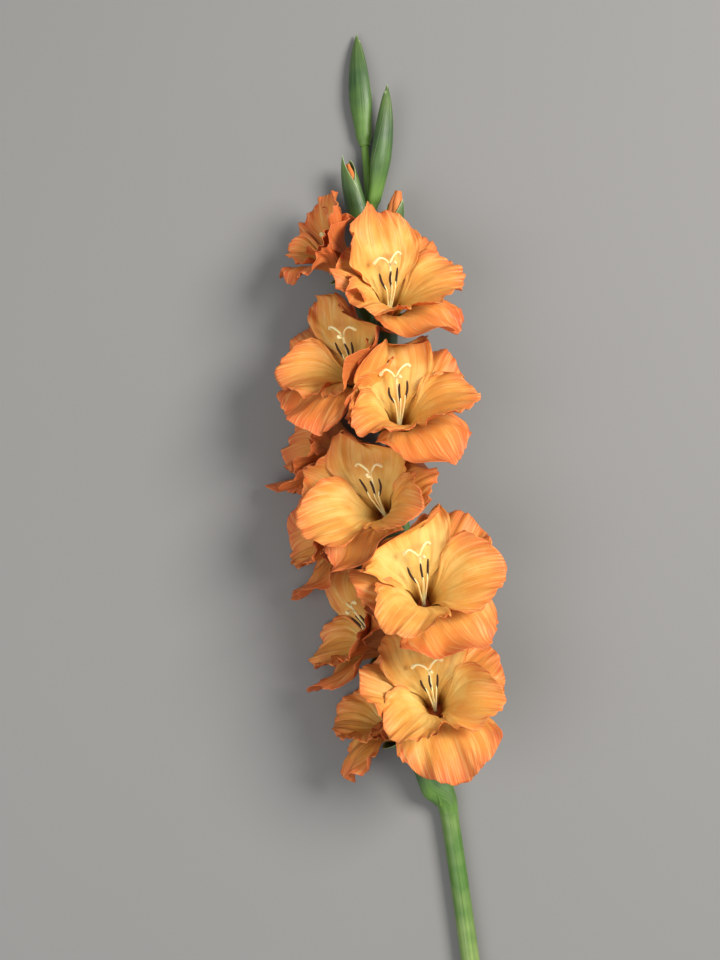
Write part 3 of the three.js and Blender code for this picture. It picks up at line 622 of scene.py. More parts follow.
def add_tepal(piece, floret, tepal, sizes):
    """Adds one tepal as a thin shell, thinner towards its edge, with the values its colours follow."""
    s, t = sheet_grid(*tepal.cells)
    points, creases = tepal_surface(floret, tepal, s, t, sizes)
    margin = 1 - (1 - np.abs(t) ** 7) * (1 - s**14)
    thickness = sizes.tepal_thickness * (1 - 0.55 * margin)
    points[..., 2] = np.maximum(points[..., 2], sizes.tepal_thickness)
    edge = 1 - (1 - np.abs(t) ** 3) * (1 - s**6)
    # the flutes' hollows, where creases are low, are painted a little warmer and more coral: painted shade
    warmth = s * (0.6 + 0.55 * tepal.tone + 0.25 * edge) + 0.12 * tepal.tone - 0.06 * creases * s
    rim = smooth(0.4, 1.1, edge * (0.8 + 0.3 * tepal.tone) - 0.16 * creases) * smooth(0.3, 0.7, s)
    # painted shade down the funnel: 1 deep in the throat, falling to 0 by two fifths of the tepal
    throat = 1 - smooth(0.05, 0.4, s)
    piece.add(  # the outer face comes first
        shell(points, thickness),
        uv=shell_uv(s, t),
        warmth=np.tile(warmth.ravel(), 2),
        rim=np.tile(rim.ravel(), 2),
        throat=np.concatenate([np.zeros(s.size), throat.ravel()]),
        back=np.concatenate([mix(0.9, 0.6, s.ravel()), np.zeros(s.size)]),
    )


def tube_line(floret, u):
    """The line down the middle of the tube: its Bezier curve from 0 to 1, straight on up the axis past 1, and
    straight down along the stem below 0."""
    u = np.asarray(u, float)
    inside = bezier(floret.tube, np.clip(u, 0, 1))
    above = np.maximum(u - 1, 0)[..., None] * TUBE_LENGTH * floret.size
    below = np.minimum(u, 0)[..., None] * STEM_PER_TUBE
    return inside + floret.axis * above + floret.along * below


def tube_ring(floret, u, radius, angle):
    """Points round the tube's line at u, square to it. Angles run from the side away from the stem."""
    axis = unit(tube_line(floret, u + 0.02) - tube_line(floret, u - 0.02))
    away = across(floret.out - floret.along, axis)
    return round_at(tube_line(floret, u), away, np.cross(axis, away), radius, angle)


def add_tube(piece, floret):
    """Adds the perianth's tube, from inside the spathe to the floor of the funnel. It widens evenly and has
    six ribs, a cosine round it of 3 % of its radius."""
    u, turn = round_grid(TUBE_SHOWN_FROM, 1 + FUNNEL_FLOOR, 24, 32)
    radius = mix(TUBE_RADIUS, TUBE_END_RADIUS, np.minimum(1, u)) * (1 + 0.03 * np.cos(12 * np.pi * turn))
    body = tube(tube_ring(floret, u, radius, 2 * np.pi * turn))
    piece.add(body, warmth=0.9, back=0.9)


def make_perianth(floret, sizes, material):
    """Six tepals and the tube that joins them."""
    piece = Piece(f"{floret.name}_perianth")
    for k in range(len(TEPALS)):
        add_tepal(piece, floret, tepal_of(floret, k), sizes)
    add_tube(piece, floret)
    piece.make([material], f"{floret.name}_tepals")


def inner_point(floret, aside, upwards, forwards):
    """A point inside the flower, as the constants for the stamens say. In a floret that is half shut the
    points draw together towards its axis."""
    spread = floret.size * mix(SHUT_STAMENS, 1, floret.open)
    floor = FUNNEL_FLOOR * TUBE_LENGTH - FUNNEL_DEPTH + 1
    return (
        floret.mouth
        + floret.right * (aside * spread)
        + floret.dorsal * (upwards * spread)
        + floret.axis * ((floor + forwards) * floret.size)
    )


def add_stamen(piece, floret, side, sizes):
    """Adds a stamen, the left, middle or right one for a side of -1, 0 or 1: a thin filament, and an anther
    with two lobes whose radius goes by sin(pi * share)^0.4. Both are rods along smooth curves."""
    share = np.linspace(0, 1, 20)
    lean = side * STAMEN_LEAN + 1.5 * draw(floret.i, 80 + side)
    points = [inner_point(floret, side * 0.3, 0.3 - 0.3 * abs(side), -1)]
    points += [inner_point(floret, lean * aside, above, ahead) for aside, above, ahead in FILAMENT]
    radii = mix(FILAMENT_RADIUS, FILAMENT_TIP_RADIUS, share)
    piece.add(rod(curve_through(points, len(share)), radii, 10, floret.dorsal))

    aside, above, ahead = ANTHER_LOW
    low = inner_point(floret, lean * aside, above, ahead)
    aside, above, ahead = ANTHER_HIGH
    high = inner_point(floret, lean * aside, above + 1.2 * draw(floret.i, 110 + side), ahead)
    bow = floret.dorsal * 0.7 + floret.right * (0.8 * side + 0.7 * draw(floret.i, 114 + side))
    line = curve_through([low, (low + high) / 2 + bow, high], len(share))
    radii = sizes.anther * (0.25 + 0.85 * np.sin(np.pi * share) ** 0.4)
    piece.add(rod(line, radii, 12, floret.right, flat=0.75, lobes=0.2), material=1)


def add_style(piece, floret, sizes):
    """Adds the style, a rod that thins over its first third, and its three branches, flat rods that widen
    and curl back at their ends. All run along smooth curves. Past its first point each branch reaches a
    little more or less aside."""
    sway = 1.5 * draw(floret.i, 118)
    aside, above, ahead = STYLE_MIDDLE
    middle = inner_point(floret, aside + 0.4 * sway, above, ahead)
    aside, above, ahead = STYLE_TIP
    aside = aside + sway
    tip = inner_point(floret, aside, above, ahead)
    radii = sizes.style * np.concatenate([np.linspace(2.1, 1.15, 8), np.full(20, 1.1)])
    line = curve_through([inner_point(floret, 0, 0, -1), middle, tip], len(radii))
    piece.add(rod(line, radii, 12, floret.dorsal))
    share = np.linspace(0, 1, 26)
    radii = sizes.style * (1.0 + 0.9 * smooth(0.4, 0.85, share) - 1.3 * smooth(0.9, 1.0, share))
    for k, (sideways, upwards) in enumerate(BRANCH_LEANS):
        curl = 1 + 1.2 * draw(floret.i, 84 + k)
        reach = 1 + 0.18 * draw(floret.i, 121 + k)
        points = [tip - floret.axis]
        for n, (out, up, past, curled) in enumerate(BRANCH):
            out = out * sideways * (reach if n else 1)
            past = past - curl * curled
            points.append(inner_point(floret, aside + out, above + upwards * up, ahead + past))
        piece.add(rod(curve_through(points, len(share)), radii, 12, floret.axis, flat=0.6))


def make_stamens_style(floret, sizes, materials):
    """Three stamens and the style of a floret."""
    piece = Piece(f"{floret.name}_stamens_and_style")
    for side in (-1, 0, 1):
        add_stamen(piece, floret, side, sizes)
    add_style(piece, floret, sizes)
    piece.make(materials, f"{floret.name}_stamens_style")


def perianth_radius(u):
    """How far the tube and funnel reach from their line at u, where the bracts wrap them."""
    beyond = np.maximum(0, u - 1)
    within = mix(TUBE_RADIUS, TUBE_END_RADIUS, np.clip(u, 0, 1))
    return within + FUNNEL_SPREAD * beyond * (1 + 2 * beyond)


def bract_surface(floret, outer, s, t):
    """One bract of a spathe: it wraps the tube at the perianth's radius plus a gap, over its own span, and
    its height falls from the point in the middle to the notch at the sides by share^1.3. A low keel, a bell
    curve, runs up the middle. The outer one's foot closes round the stem, a ring on its skin, and passes over
    into the wrap round the tube by a smooth share, later towards its edges, so that they part in a V on the
    stem's far side."""
    span = math.radians(OUTER_BRACT_SPAN)
    middle = 0.0 if outer else math.pi
    length = OUTER_BRACT_LENGTH if outer else INNER_BRACT_LENGTH
    top = mix(length, BRACT_NOTCH, np.abs(t) ** 1.3)
    u = mix(OUTER_FOOT if outer else INNER_FOOT, top, s)
    lap = BRACT_LAP if outer else 0.1
    waist = mix(0.5, 1, smooth(OUTER_FOOT, 0.2, u))
    keel = 0.5 * np.exp(-((t / 0.1) ** 2)) * smooth(0.1, 0.3, s)
    radius = (perianth_radius(u) + BRACT_GAP + HALF_BRACT + lap + keel) * waist
    ripple = 0.25 * smooth(0.5, 1, np.abs(t)) * np.sin(9 * s + 3 * draw(floret.i, 96)) * smooth(0.3, 0.7, s)
    half = span + 0.1 if outer else math.pi - span + 0.22
    wrapped = tube_ring(floret, u, radius + ripple, middle + half * t)
    if not outer:
        return wrapped
    y = floret.y + STEM_PER_TUBE * u
    along = stem_frame(y)[0]
    away = across(floret.out, along)
    angle = mix(math.pi - 0.03, math.radians(65), smooth(-0.12, 0.45, u)) * t
    girth = stem_radius(y) * STEM_ROUNDNESS - 0.1 + 0.9 * smooth(OUTER_FOOT, 0.1, u)
    ring = round_at(stem_centre(y), away, np.cross(along, away), girth, angle)
    passed = smooth(-0.06 + 0.35 * t * t, 0.26 + 0.45 * t * t, u)[..., None]
    return mix(ring, wrapped, passed)


def add_bract(piece, points, s, t, thickness, above=0.0):
    """Adds a bract as a shell that thins to its edge. above is how far up its colours start."""
    edge = 1 - (1 - np.abs(t) ** 8) * (1 - s**16) * smooth(-0.04, 0.12, s)
    points[..., 2] = np.maximum(points[..., 2], thickness / 2)
    piece.add(
        shell(points, thickness * (1 - 0.7 * edge)),
        uv=shell_uv(s, t),
        margin=np.tile((edge * smooth(0.15, 0.4, s)).ravel(), 2),
        height=np.tile(mix(above, 1, s.ravel()), 2),
    )


def make_spathe(floret, sizes, material):
    """The spathe of an open floret: an inner bract and the outer bract that laps round it."""
    piece = Piece(f"{floret.name}_bracts")
    s, t = sheet_grid(36, 30)
    for outer in (False, True):
        add_bract(piece, bract_surface(floret, outer, s, -t), s, t, sizes.bract_thickness, above=0.12)
    piece.make([material], f"{floret.name}_spathe")


# Buds


def place_bud(i, spec):
    """A bud's seat and the direction it starts in."""
    bud = SimpleNamespace(name=f"bud_{i + 1:02d}", **spec)
    y = bud.seat
    along, up, right = stem_frame(y)
    face, lean = math.radians(bud.face), math.radians(bud.lean)
    bud.out = up * math.cos(face) + right * math.sin(face)
    bud.start = along * math.cos(lean) + bud.out * math.sin(lean)
    offset = along * 0.3 if bud.on_top else bud.out * (stem_radius(y) * 0.9 + 1.6)
    bud.seat = stem_centre(y) + offset
    return bud


def bud_line(bud, s):
    """The bud's middle line: straight out along its start, bent back by BUD_BEND times the length squared."""
    reach = (BUD_LENGTH * bud.length * np.asarray(s, float))[..., None]
    return bud.seat + bud.start * reach - bud.out * (BUD_BEND * reach * reach)


def bud_radius(bud, s):
    """The radius to the inner bract's outer face. The foot ends in a step, the bud swells to two fifths of
    its length and tapers to its tip by a power of 2.6."""
    swell = mix(0.42, 0.64, smooth(-0.05, 0.02, s)) + 0.36 * smooth(0, 0.4, s)
    taper = (1 - bud.gape) * np.maximum(0, (s - 0.28) / 0.72) ** 2.6
    return BUD_RADIUS * swell * (1 - taper) + HALF_BRACT


def bud_point(bud, s, angle, radius):
    """A point round a bud at s, flattened towards the stem."""
    along = unit(bud_line(bud, s + 0.01) - bud_line(bud, s - 0.01))
    away = across(bud.out, along)
    return round_at(bud_line(bud, s), away, np.cross(along, away), radius, angle, BUD_FLATNESS)


def bud_bract_surface(bud, outer, s, t):
    """A bract of a bud's spathe: its span narrows to the tip, so that its edges slant over the inner one, and
    an open spathe's rim is notched where the two bracts meet."""
    rim, notch = (0.92, 0.3) if bud.show else (0.99, 0.0)
    height = mix(-0.07, rim * (1 if outer else 0.94), s) - notch * np.abs(t) ** 1.3 * s
    span = np.radians(mix(130, 40, np.maximum(0, height) ** 0.8))
    half = span + 0.06 if outer else np.pi - span + 0.5
    middle = 0.0 if outer else np.pi
    lap = (BRACT_LAP if outer else 0.0) * (1 - np.clip(height, 0, 1) ** 4)
    keel = 0.6 * np.exp(-((t / 0.07) ** 2)) * smooth(0.1, 0.4, s) * (1 - smooth(0.9, 1, s))
    return bud_point(bud, height, middle + half * t, bud_radius(bud, height) - HALF_BRACT + lap + keel)


def make_bud_spathe(bud, sizes, material):
    """The two bracts of a bud. A shut bud also has a closed core, which its bracts lie on."""
    piece = Piece(f"{bud.name}_bracts")
    s, t = sheet_grid(60, 30)
    for outer in (False, True):
        add_bract(piece, bud_bract_surface(bud, outer, s, -t), s, t, sizes.bract_thickness)
    if not bud.show:
        s, turn = round_grid(-0.05, 0.985, 50, 32)
        core = bud_point(bud, s, 2 * np.pi * turn, bud_radius(bud, s) - 0.75)
        core[..., 2] = np.maximum(core[..., 2], HALF_BRACT)
        uv = tube_uv(turn, s)
        piece.add(tube(core), uv=uv, height=np.clip(uv[:, 1], 0, 1))
    piece.make([material], f"{bud.name}_spathe")


def make_bud_tepals(bud, material):
    """The furled tepals: a pointed roll whose radius dips in six spiral pleats."""
    s, turn = round_grid(0.05, 1, 70, 60)
    place = s * bud.show
    radius = (bud_radius(bud, place) - 3 * HALF_BRACT) * (1 - 0.4 * smooth(0.8, 1, s) ** 2)
    pleats = np.abs(np.sin(3 * np.pi * turn + 5 * s)) ** 0.6
    radius = radius * (1 - 0.35 * (1 - pleats) * smooth(0.1, 0.6, s))
    body = tube(bud_point(bud, place, 2 * np.pi * turn + 1.6 * s, radius))
    piece = Piece(f"{bud.name}_furled")
    piece.add(body, uv=tube_uv(turn, s), warmth=1.1, rim=0.5, back=0.3)
    piece.make([material], f"{bud.name}_tepals")


def make_stem(material):
    """The stem: a round rod with shallow ridges, which are sines round it, a little thicker by a bell curve
    below each seat, and thicker between the buds than its taper gives. The value that its colours follow
    rises by half above the cut end and by half again between the buds."""
    y, turn = round_grid(0, STEM_TOP, 300, 48)
    angle = 2 * np.pi * turn
    radius = stem_radius(y) * STEM_ROUNDNESS
    for spec in [*FLORETS, *BUDS[:-1]]:
        radius = radius + SWELLING * np.exp(-(((y - spec["seat"] + SWELLING_BELOW) / SWELLING_LENGTH) ** 2))
    radius = radius + BUD_STEM_EXTRA * smooth(BUD_STEM_START, BUD_STEM_FULL, y)
    ridges = 0.07 * np.sin(17 * angle + 0.012 * y) + 0.05 * np.sin(26 * angle - 0.02 * y)
    radius = radius + ridges * smooth(0, 3, y)
    along, up, right = stem_frame(y)
    rings = round_at(stem_centre(y), up, right, radius, angle)
    rings[..., 2] = np.maximum(rings[..., 2], 0.02)
    uv = tube_uv(turn, y / STEM_TOP)
    height = 0.5 * smooth(0.0, 0.24, uv[:, 1]) + 0.5 * smooth(0.82, 0.94, uv[:, 1])
    piece = Piece("stem_rod")
    piece.add(tube(rings[:, ::-1]), uv=uv, height=height)
    piece.make([material], "stem")


# Materials


def add_node(tree, kind, inputs, output=0, **settings):
    """Adds a node with these settings and returns one of its outputs, if it has any. inputs gives, by number
    or name, a value or another node's output for an input."""
    node = tree.nodes.new("ShaderNode" + kind)
    for key, value in settings.items():
        setattr(node, key, value)
    for key, value in inputs.items():
        socket = node.inputs[key]
        if isinstance(value, bpy.types.NodeSocket):
            tree.links.new(value, socket)
        else:
            socket.default_value = (*value[:3], 1) if socket.type == "RGBA" else value
    return node.outputs[output] if len(node.outputs) else None


def ready_material(name, skin):
    """The material of this name. If it isn't there yet it is made: skin gives its shader's inputs from the
    scene's colours."""
    material = bpy.data.materials.get(name)
    if not material:
        material = bpy.data.materials.new(name)
        material.use_nodes = True
        tree = material.node_tree
        tree.nodes.clear()
        inputs = skin(tree, bpy.context.scene.gladiolus_colours)
        add_node(tree, "OutputMaterial", {0: add_node(tree, "BsdfPrincipled", inputs)})
    return material


def tepal_tissue(tree, colours):
    """A living gladiolus tepal: thin wet tissue with a velvety skin of small domed cells, so that it has
    hardly any gloss and glows where it is thin. Fine veins fan out along it, and its rim is coral in
    feathered streaks. Values at the vertices say how warm a place is, how near the rim, how far back and how
    deep in the throat. The throat's olive and dark brown are painted shade, and the warmth and rim also
    carry painted shade in the flutes' hollows and, for the warmth, in florets turned to the left."""
    uv = add_node(tree, "UVMap", {}, uv_map="UVMap")
    place = add_node(tree, "TexCoord", {}, "Object")
    warmth, rim, back, throat = (
        add_node(tree, "Attribute", {}, "Fac", attribute_name=name)
        for name in ("warmth", "rim", "back", "throat")
    )

    # clouds some 15 mm wide drift the warmth by a fifth either way
    clouds = add_node(tree, "TexNoise", {"Vector": place, "Scale": 65.0, "Detail": 3.0})
    drift = add_node(tree, "MapRange", {0: clouds, 1: 0.3, 2: 0.7, 3: -0.2, 4: 0.2})
    warm = add_node(tree, "Math", {0: warmth, 1: drift}, operation="ADD")

    # veins about a millimetre apart run along the blade: pale ones, and coral ones towards the rim
    lines_at = add_node(tree, "Mapping", {"Vector": uv, "Scale": (70.0, 3.0, 1.0)})
    lines = add_node(tree, "TexNoise", {"Vector": lines_at, "Scale": 1.0, "Detail": 3.0, "Distortion": 0.3})
    streaks = add_node(tree, "MapRange", {0: lines, 1: 0.58, 2: 0.38, 3: 0.15})

    colour = colours.heart
    for share, paint in (
        (add_node(tree, "MapRange", {0: warm, 1: 0.25, 2: 0.65}), colours.blade),
        (add_node(tree, "MapRange", {0: warm, 1: 0.55, 2: 1.05}), colours.outer),
        (add_node(tree, "MapRange", {0: warm, 1: 1.0, 2: 1.55}), colours.blush),
        (add_node(tree, "MapRange", {0: lines, 1: 0.5, 2: 0.72, 4: 0.5}), colours.vein),
        (add_node(tree, "Math", {0: streaks, 1: rim}, operation="MULTIPLY"), colours.coral),
        (back, colours.back),
        # painted shade in the funnel: olive round the throat, then dark brown deep in it
        (add_node(tree, "MapRange", {0: throat, 1: 0.0, 2: 0.55}), colours.throat_half_shade),
        (add_node(tree, "MapRange", {0: throat, 1: 0.35, 2: 0.95}), colours.throat),
    ):
        colour = add_node(tree, "Mix", {0: share, 6: colour, 7: paint}, 2, data_type="RGBA")
    return {
        "Base Color": colour,
        "Roughness": 0.5,
        "Specular IOR Level": 0.3,
        "Subsurface Weight": 0.25,
        "Subsurface Radius": (1.0, 0.6, 0.3),
        "Subsurface Scale": 0.0012,
        "Normal": add_node(tree, "Bump", {"Height": lines, "Strength": 0.6, "Distance": 0.0005}),
    }


def leaf_skin(tree, low, middle, high, line, dark, edge, spread):
    """A living green part: waxy skin with a soft broad gloss and fine parallel lines along it. Its colour
    runs from low over middle to high with the vertices' height, and its margin is pale. spread is the number
    of lines across."""
    uv = add_node(tree, "UVMap", {}, uv_map="UVMap")
    place = add_node(tree, "TexCoord", {}, "Object")
    height, margin = (
        add_node(tree, "Attribute", {}, "Fac", attribute_name=name) for name in ("height", "margin")
    )
    # clouds some 20 mm wide drift the height a little either way
    clouds = add_node(tree, "TexNoise", {"Vector": place, "Scale": 45.0, "Detail": 2.0})
    drift = add_node(tree, "MapRange", {0: clouds, 1: 0.3, 2: 0.7, 3: -0.15, 4: 0.15})
    height = add_node(tree, "Math", {0: height, 1: drift}, operation="ADD")
    lines_at = add_node(tree, "Mapping", {"Vector": uv, "Scale": (spread, 4.0, 1.0)})
    lines = add_node(tree, "TexNoise", {"Vector": lines_at, "Scale": 1.0, "Detail": 3.0})
    colour = low
    for source, start, end, most, paint in (
        (height, -0.05, 0.55, 1.0, middle),
        (height, 0.6, 1.0, 1.0, high),
        (lines, 0.5, 0.3, 0.6, dark),
        (lines, 0.52, 0.75, 0.4, line),
        (margin, 0.6, 0.95, 0.85, edge),
    ):
        share = add_node(tree, "MapRange", {0: source, 1: start, 2: end, 4: most})
        colour = add_node(tree, "Mix", {0: share, 6: colour, 7: paint}, 2, data_type="RGBA")
    return {
        "Base Color": colour,
        "Roughness": 0.42,
        "Subsurface Weight": 0.1,
        "Subsurface Radius": (0.7, 1.0, 0.4),
        "Subsurface Scale": 0.002,
        "Coat Weight": 0.14,
        "Coat Roughness": 0.34,
        "Normal": add_node(tree, "Bump", {"Height": lines, "Strength": 0.6, "Distance": 0.0005}),
    }


def stem_skin(tree, colours):
    """The stem, a living stalk, is paler and yellower at its cut end, where it stood in the dark of its
    leaves, and a fresh yellow-green between the buds. It is 44 mm round, so its lines are 0.7 mm apart."""
    ends = colours.stem_pale, colours.stem, colours.bract_foot
    return leaf_skin(tree, *ends, colours.stem_light, colours.stem_dark, colours.stem_light, 60.0)


def bract_skin(tree, colours):
    """A bract, a leathery leaf, is a deep waxy green above its yellow-green foot, and has a thin pale margin.
    It is 20 to 25 mm wide, so its lines are half a millimetre apart."""
    ends = colours.bract_foot, colours.bract, colours.bract_tip
    return leaf_skin(tree, *ends, colours.bract_light, colours.bract, colours.bract_edge, 45.0)


def style_tissue(tree, colours):
    """Filaments and style: pale wet tissue, with paler flecks 4 mm long."""
    place = add_node(tree, "TexCoord", {}, "Object")
    flecks = add_node(tree, "TexNoise", {"Vector": place, "Scale": 260.0, "Detail": 2.0})
    sides = {0: flecks, 6: colours.style, 7: colours.style_pale}
    return {
        "Base Color": add_node(tree, "Mix", sides, 2, data_type="RGBA"),
        "Roughness": 0.4,
        "Subsurface Weight": 0.3,
        "Subsurface Scale": 0.002,
    }


def anther_skin(tree, colours):
    """Anthers: a dry dark skin, grainy with pollen sacs. Their grains, a tenth of a millimetre wide, are
    drawn 0.7 mm wide, so that they show."""
    place = add_node(tree, "TexCoord", {}, "Object")
    grain = add_node(tree, "TexNoise", {"Vector": place, "Scale": 1500.0, "Detail": 2.0})
    grainy = add_node(tree, "MapRange", {0: grain, 1: 0.45, 2: 0.7})
    sides = {0: grainy, 6: colours.anther, 7: colours.anther_light}
    return {
        "Base Color": add_node(tree, "Mix", sides, 2, data_type="RGBA"),
        "Roughness": 0.65,
        "Normal": add_node(tree, "Bump", {"Height": grain, "Strength": 0.5, "Distance": 0.0002}),
    }


def floor_paint(tree, colours):
    """A plain pale painted board, matt, with clouds a hand's length wide that hardly show."""
    place = add_node(tree, "TexCoord", {}, "Object")
    clouds = add_node(tree, "TexNoise", {"Vector": place, "Scale": 6.0, "Detail": 2.0})
    sides = {0: clouds, 6: colours.floor, 7: [c * 0.97 for c in colours.floor]}
    return {"Base Color": add_node(tree, "Mix", sides, 2, data_type="RGBA"), "Roughness": 0.75}


# The add-on


def colour_property(name, description, hex_colour):
    """A colour given as an sRGB hex value."""
    return bpy.props.FloatVectorProperty(
        name=name, description=description, subtype="COLOR", size=3, min=0, max=1, default=linear(hex_colour)
    )


def length_property(name, description, default):
    """A length in metres, given in millimetres."""
    return bpy.props.FloatProperty(
        name=name, description=description, default=default / 1000, min=0, precision=5, unit="LENGTH"
    )


def millimetres(scene):
    """The scene's sizes, which are metres, in millimetres."""
    group = scene.gladiolus_sizes
    return SimpleNamespace(**{name: getattr(group, name) * 1000 for name in group.__annotations__})


class GladiolusSizes(bpy.types.PropertyGroup):
    """Fine sizes of the pieces."""

    tepal_thickness: length_property("Tepal thickness", "Thickness of a tepal's middle", 0.5)
    frill: length_property("Frill", "Height of the fine frill at a tepal's edge", 1.5)
    flute: length_property("Flutes", "Height of the shallow flutes along a tepal", 0.7)
    keel: length_property("Keel", "Depth of the fold down a tepal's middle", 0.5)
    bract_thickness: length_property("Bract thickness", "Thickness of a bract's middle", BRACT_THICKNESS)
    anther: length_property("Anther radius", "Half the width of an anther", 0.85)
    style: length_property("Style radius", "Half the width of a style", 0.8)


class GladiolusColours(bpy.types.PropertyGroup):
    """The colours of the petals, the green parts and the floor."""

    heart: colour_property("Heart", "Tepals near the throat", "#e6c472")
    blade: colour_property("Blade", "Tepals at half their length", "#e3a74d")
    outer: colour_property("Outer", "Tepals towards their tips", "#e08c41")
    blush: colour_property("Blush", "The deepest tips of the tepals", "#dc793c")
    coral: colour_property("Coral", "Streaks at the rim of the tepals", "#d36137")
    vein: colour_property("Vein", "Fine pale streaks along the tepals", "#edd08a")
    back: colour_property("Back", "The outer face of the tepals", "#c66430")
    # Olive and Throat are painted shade in the funnel, not the tepals' own colour
    throat_half_shade: colour_property("Olive", "Round the throat", "#bd8d3d")
    throat: colour_property("Throat", "Deep in the funnel", "#945a24")
    style: colour_property("Style", "Style and filaments", "#f6dc8c")
    style_pale: colour_property("Style, pale", "Paler flecks of the style", "#fdf1c6")
    anther: colour_property("Anther", "Anthers", "#2a1410")
    anther_light: colour_property("Anther, light", "Grains on the anthers", "#553024")
    stem: colour_property("Stem", "The stem's skin", "#4b7429")
    stem_light: colour_property("Stem, light", "Lines along the stem", "#84b355")
    stem_dark: colour_property("Stem, dark", "Darker lines along the stem", "#335222")
    stem_pale: colour_property("Stem, pale", "The stem near the cut end", "#a3b86b")
    bract: colour_property("Bract", "The middle of the bracts", "#36572a")
    bract_foot: colour_property("Bract foot", "The foot of the bracts", "#70993a")
    bract_tip: colour_property("Bract tip", "The tips of the bracts", "#5b7438")
    bract_light: colour_property("Bract, light", "Lines along the bracts", "#5e8548")
    bract_edge: colour_property("Bract edge", "The margins of the bracts", "#b4cb93")
    floor: colour_property("Floor", "The floor that the spike lies on", "#858585")


def all_florets():
    """Every floret in its place, with what its tepals keep clear of."""
    florets = [place_floret(i, spec) for i, spec in enumerate(FLORETS)]
    part_florets(florets)
    return florets


class GLADIOLUS_OT_stem(bpy.types.Operator):
    """Makes the stem"""

    bl_idname = "gladiolus.stem"
    bl_label = "Stem"

    def execute(self, context):
        make_stem(ready_material("Stem skin, waxy", stem_skin))
        return {"FINISHED"}


class GLADIOLUS_OT_perianths(bpy.types.Operator):
    """Makes the tepals and tube of each open floret"""

    bl_idname = "gladiolus.perianths"
    bl_label = "Tepals"

    def execute(self, context):
        material = ready_material("Tepal tissue, velvety", tepal_tissue)
        for floret in all_florets():
            make_perianth(floret, millimetres(context.scene), material)
        return {"FINISHED"}


class GLADIOLUS_OT_stamens(bpy.types.Operator):
    """Makes the stamens and the style of each open floret"""

    bl_idname = "gladiolus.stamens"
    bl_label = "Stamens and styles"

    def execute(self, context):
        style = ready_material("Style tissue, wet", style_tissue)
        anther = ready_material("Anther skin, dry", anther_skin)
        for floret in all_florets():
            make_stamens_style(floret, millimetres(context.scene), [style, anther])
        return {"FINISHED"}


class GLADIOLUS_OT_bracts(bpy.types.Operator):
    """Makes the green bracts of the open florets"""

    bl_idname = "gladiolus.bracts"
    bl_label = "Bracts"

    def execute(self, context):
        material = ready_material("Bract leaf, waxy", bract_skin)
        for floret in all_florets():
            make_spathe(floret, millimetres(context.scene), material)
        return {"FINISHED"}


class GLADIOLUS_OT_buds(bpy.types.Operator):
    """Makes the buds: their bracts, and the furled tepals that show above them"""

    bl_idname = "gladiolus.buds"
    bl_label = "Buds"

    def execute(self, context):
        bract = ready_material("Bract leaf, waxy", bract_skin)
        tepal = ready_material("Tepal tissue, velvety", tepal_tissue)
        for k, spec in enumerate(BUDS):
            bud = place_bud(len(FLORETS) + k, spec)
            make_bud_spathe(bud, millimetres(context.scene), bract)
            if bud.show:
                make_bud_tepals(bud, tepal)
        return {"FINISHED"}


class GLADIOLUS_OT_stage(bpy.types.Operator):
    """Makes the floor, the soft lights and the camera above the spike"""

    bl_idname = "gladiolus.stage"
    bl_label = "Stage"

    def execute(self, context):
        scene = context.scene
        half = 3.0  # metres
        corners = [(-half, -half, 0), (half, -half, 0), (half, half, 0), (-half, half, 0)]
        mesh = bpy.data.meshes.new("floor")
        mesh.from_pydata(corners, [], [(0, 1, 2, 3)])
        mesh.materials.append(ready_material("Floor, painted board", floor_paint))
        floor = bpy.data.objects.new("floor", mesh)
        scene.collection.objects.link(floor)
        place_lights(scene)
        place_camera(scene)
        scene.view_settings.view_transform = "Standard"
        return {"FINISHED"}


def place_lights(scene):
    """A large soft key from the right and above, a weak fill from the left, and an even pale surround. Each
    lamp is a disk given by its place, width, power and colour, and looks at the florets."""
    florets_at = (0, 0.05, 0.05)
    for name, position, width, power, hex_colour in (
        ("key", (1.6, 0.5, 1.8), 1.2, 76, "#fffaf2"),
        ("fill", (-0.9, -0.3, 1.5), 1.4, 14, "#fbf9f4"),
    ):
        light = bpy.data.lights.new(name, "AREA")
        light.shape = "DISK"
        light.size = width
        light.energy = power
        light.color = linear(hex_colour)
        lamp = bpy.data.objects.new(name, light)
        scene.collection.objects.link(lamp)
        turn = (Vector(florets_at) - Vector(position)).to_track_quat("-Z", "Y")
        lamp.matrix_world = Matrix.Translation(position) @ turn.to_matrix().to_4x4()
    world = bpy.data.worlds.new("surround")
    world.use_nodes = True
    surround = world.node_tree.nodes["Background"]
    surround.inputs["Color"].default_value = (*linear("#eef1f5"), 1)
    surround.inputs["Strength"].default_value = 0.38
    scene.world = world


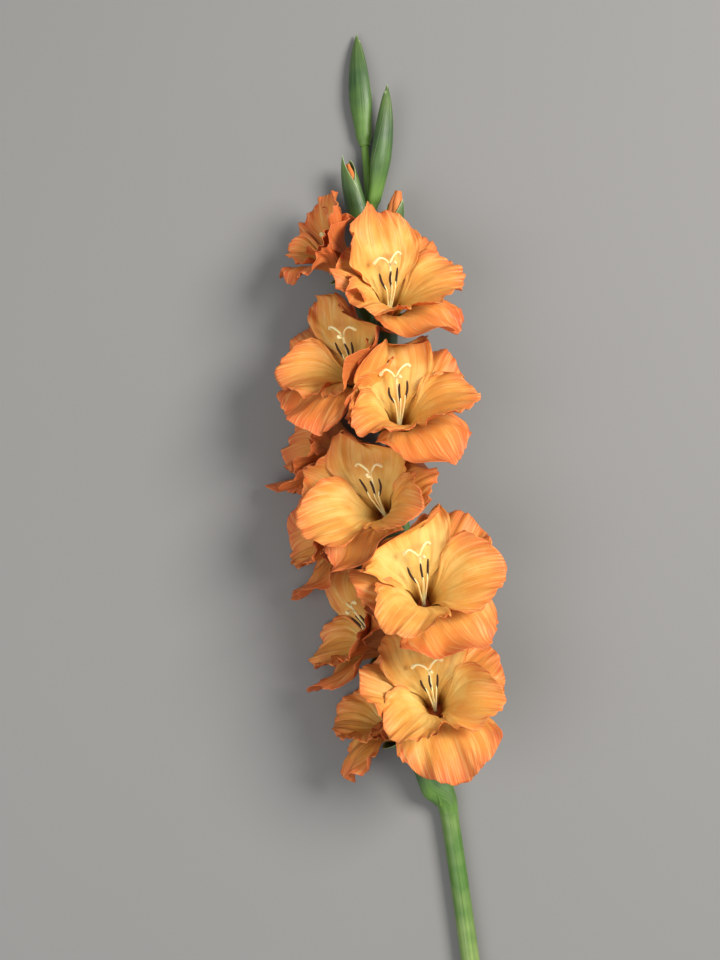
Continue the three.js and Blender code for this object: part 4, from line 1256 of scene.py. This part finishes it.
def place_camera(scene):
    """Straight above the spike, turned so that its stem leans 7 degrees to the left, and near enough that
    the picture is 0.66 m high: the lens is sensor width * distance / picture height."""
    distance, picture_height = 1.25, 0.66
    middle_x, middle_y, middle_height = -0.0107, 0.062, 0.05
    data = bpy.data.cameras.new("camera")
    data.sensor_width = 36
    data.lens = data.sensor_width * distance / picture_height
    camera = bpy.data.objects.new("camera", data)
    scene.collection.objects.link(camera)
    lean = Matrix.Rotation(math.radians(-7.2), 4, "Z")
    camera.matrix_world = Matrix.Translation((middle_x, middle_y, distance + middle_height)) @ lean
    scene.camera = camera


class GLADIOLUS_PT_panel(bpy.types.Panel):
    """Lists the pieces and their sizes and colours"""

    bl_idname = "GLADIOLUS_PT_panel"
    bl_label = "Gladiolus"
    bl_space_type = "VIEW_3D"
    bl_region_type = "UI"
    bl_category = "Gladiolus"

    def draw(self, context):
        for operator in OPERATORS:
            self.layout.operator(operator.bl_idname)
        for group in (context.scene.gladiolus_sizes, context.scene.gladiolus_colours):
            for name in group.__annotations__:
                self.layout.prop(group, name)


OPERATORS = (
    GLADIOLUS_OT_stem,
    GLADIOLUS_OT_perianths,
    GLADIOLUS_OT_stamens,
    GLADIOLUS_OT_bracts,
    GLADIOLUS_OT_buds,
    GLADIOLUS_OT_stage,
)
CLASSES = (GladiolusSizes, GladiolusColours, *OPERATORS, GLADIOLUS_PT_panel)


def register():
    for cls in CLASSES:
        bpy.utils.register_class(cls)
    bpy.types.Scene.gladiolus_sizes = bpy.props.PointerProperty(type=GladiolusSizes)
    bpy.types.Scene.gladiolus_colours = bpy.props.PointerProperty(type=GladiolusColours)


def unregister():
    del bpy.types.Scene.gladiolus_sizes
    del bpy.types.Scene.gladiolus_colours
    for cls in reversed(CLASSES):
        bpy.utils.unregister_class(cls)


def main():
    register()
    bpy.ops.gladiolus.stem()
    bpy.ops.gladiolus.perianths()
    bpy.ops.gladiolus.stamens()
    bpy.ops.gladiolus.bracts()
    bpy.ops.gladiolus.buds()
    bpy.ops.gladiolus.stage()


if __name__ == "__main__":
    main()
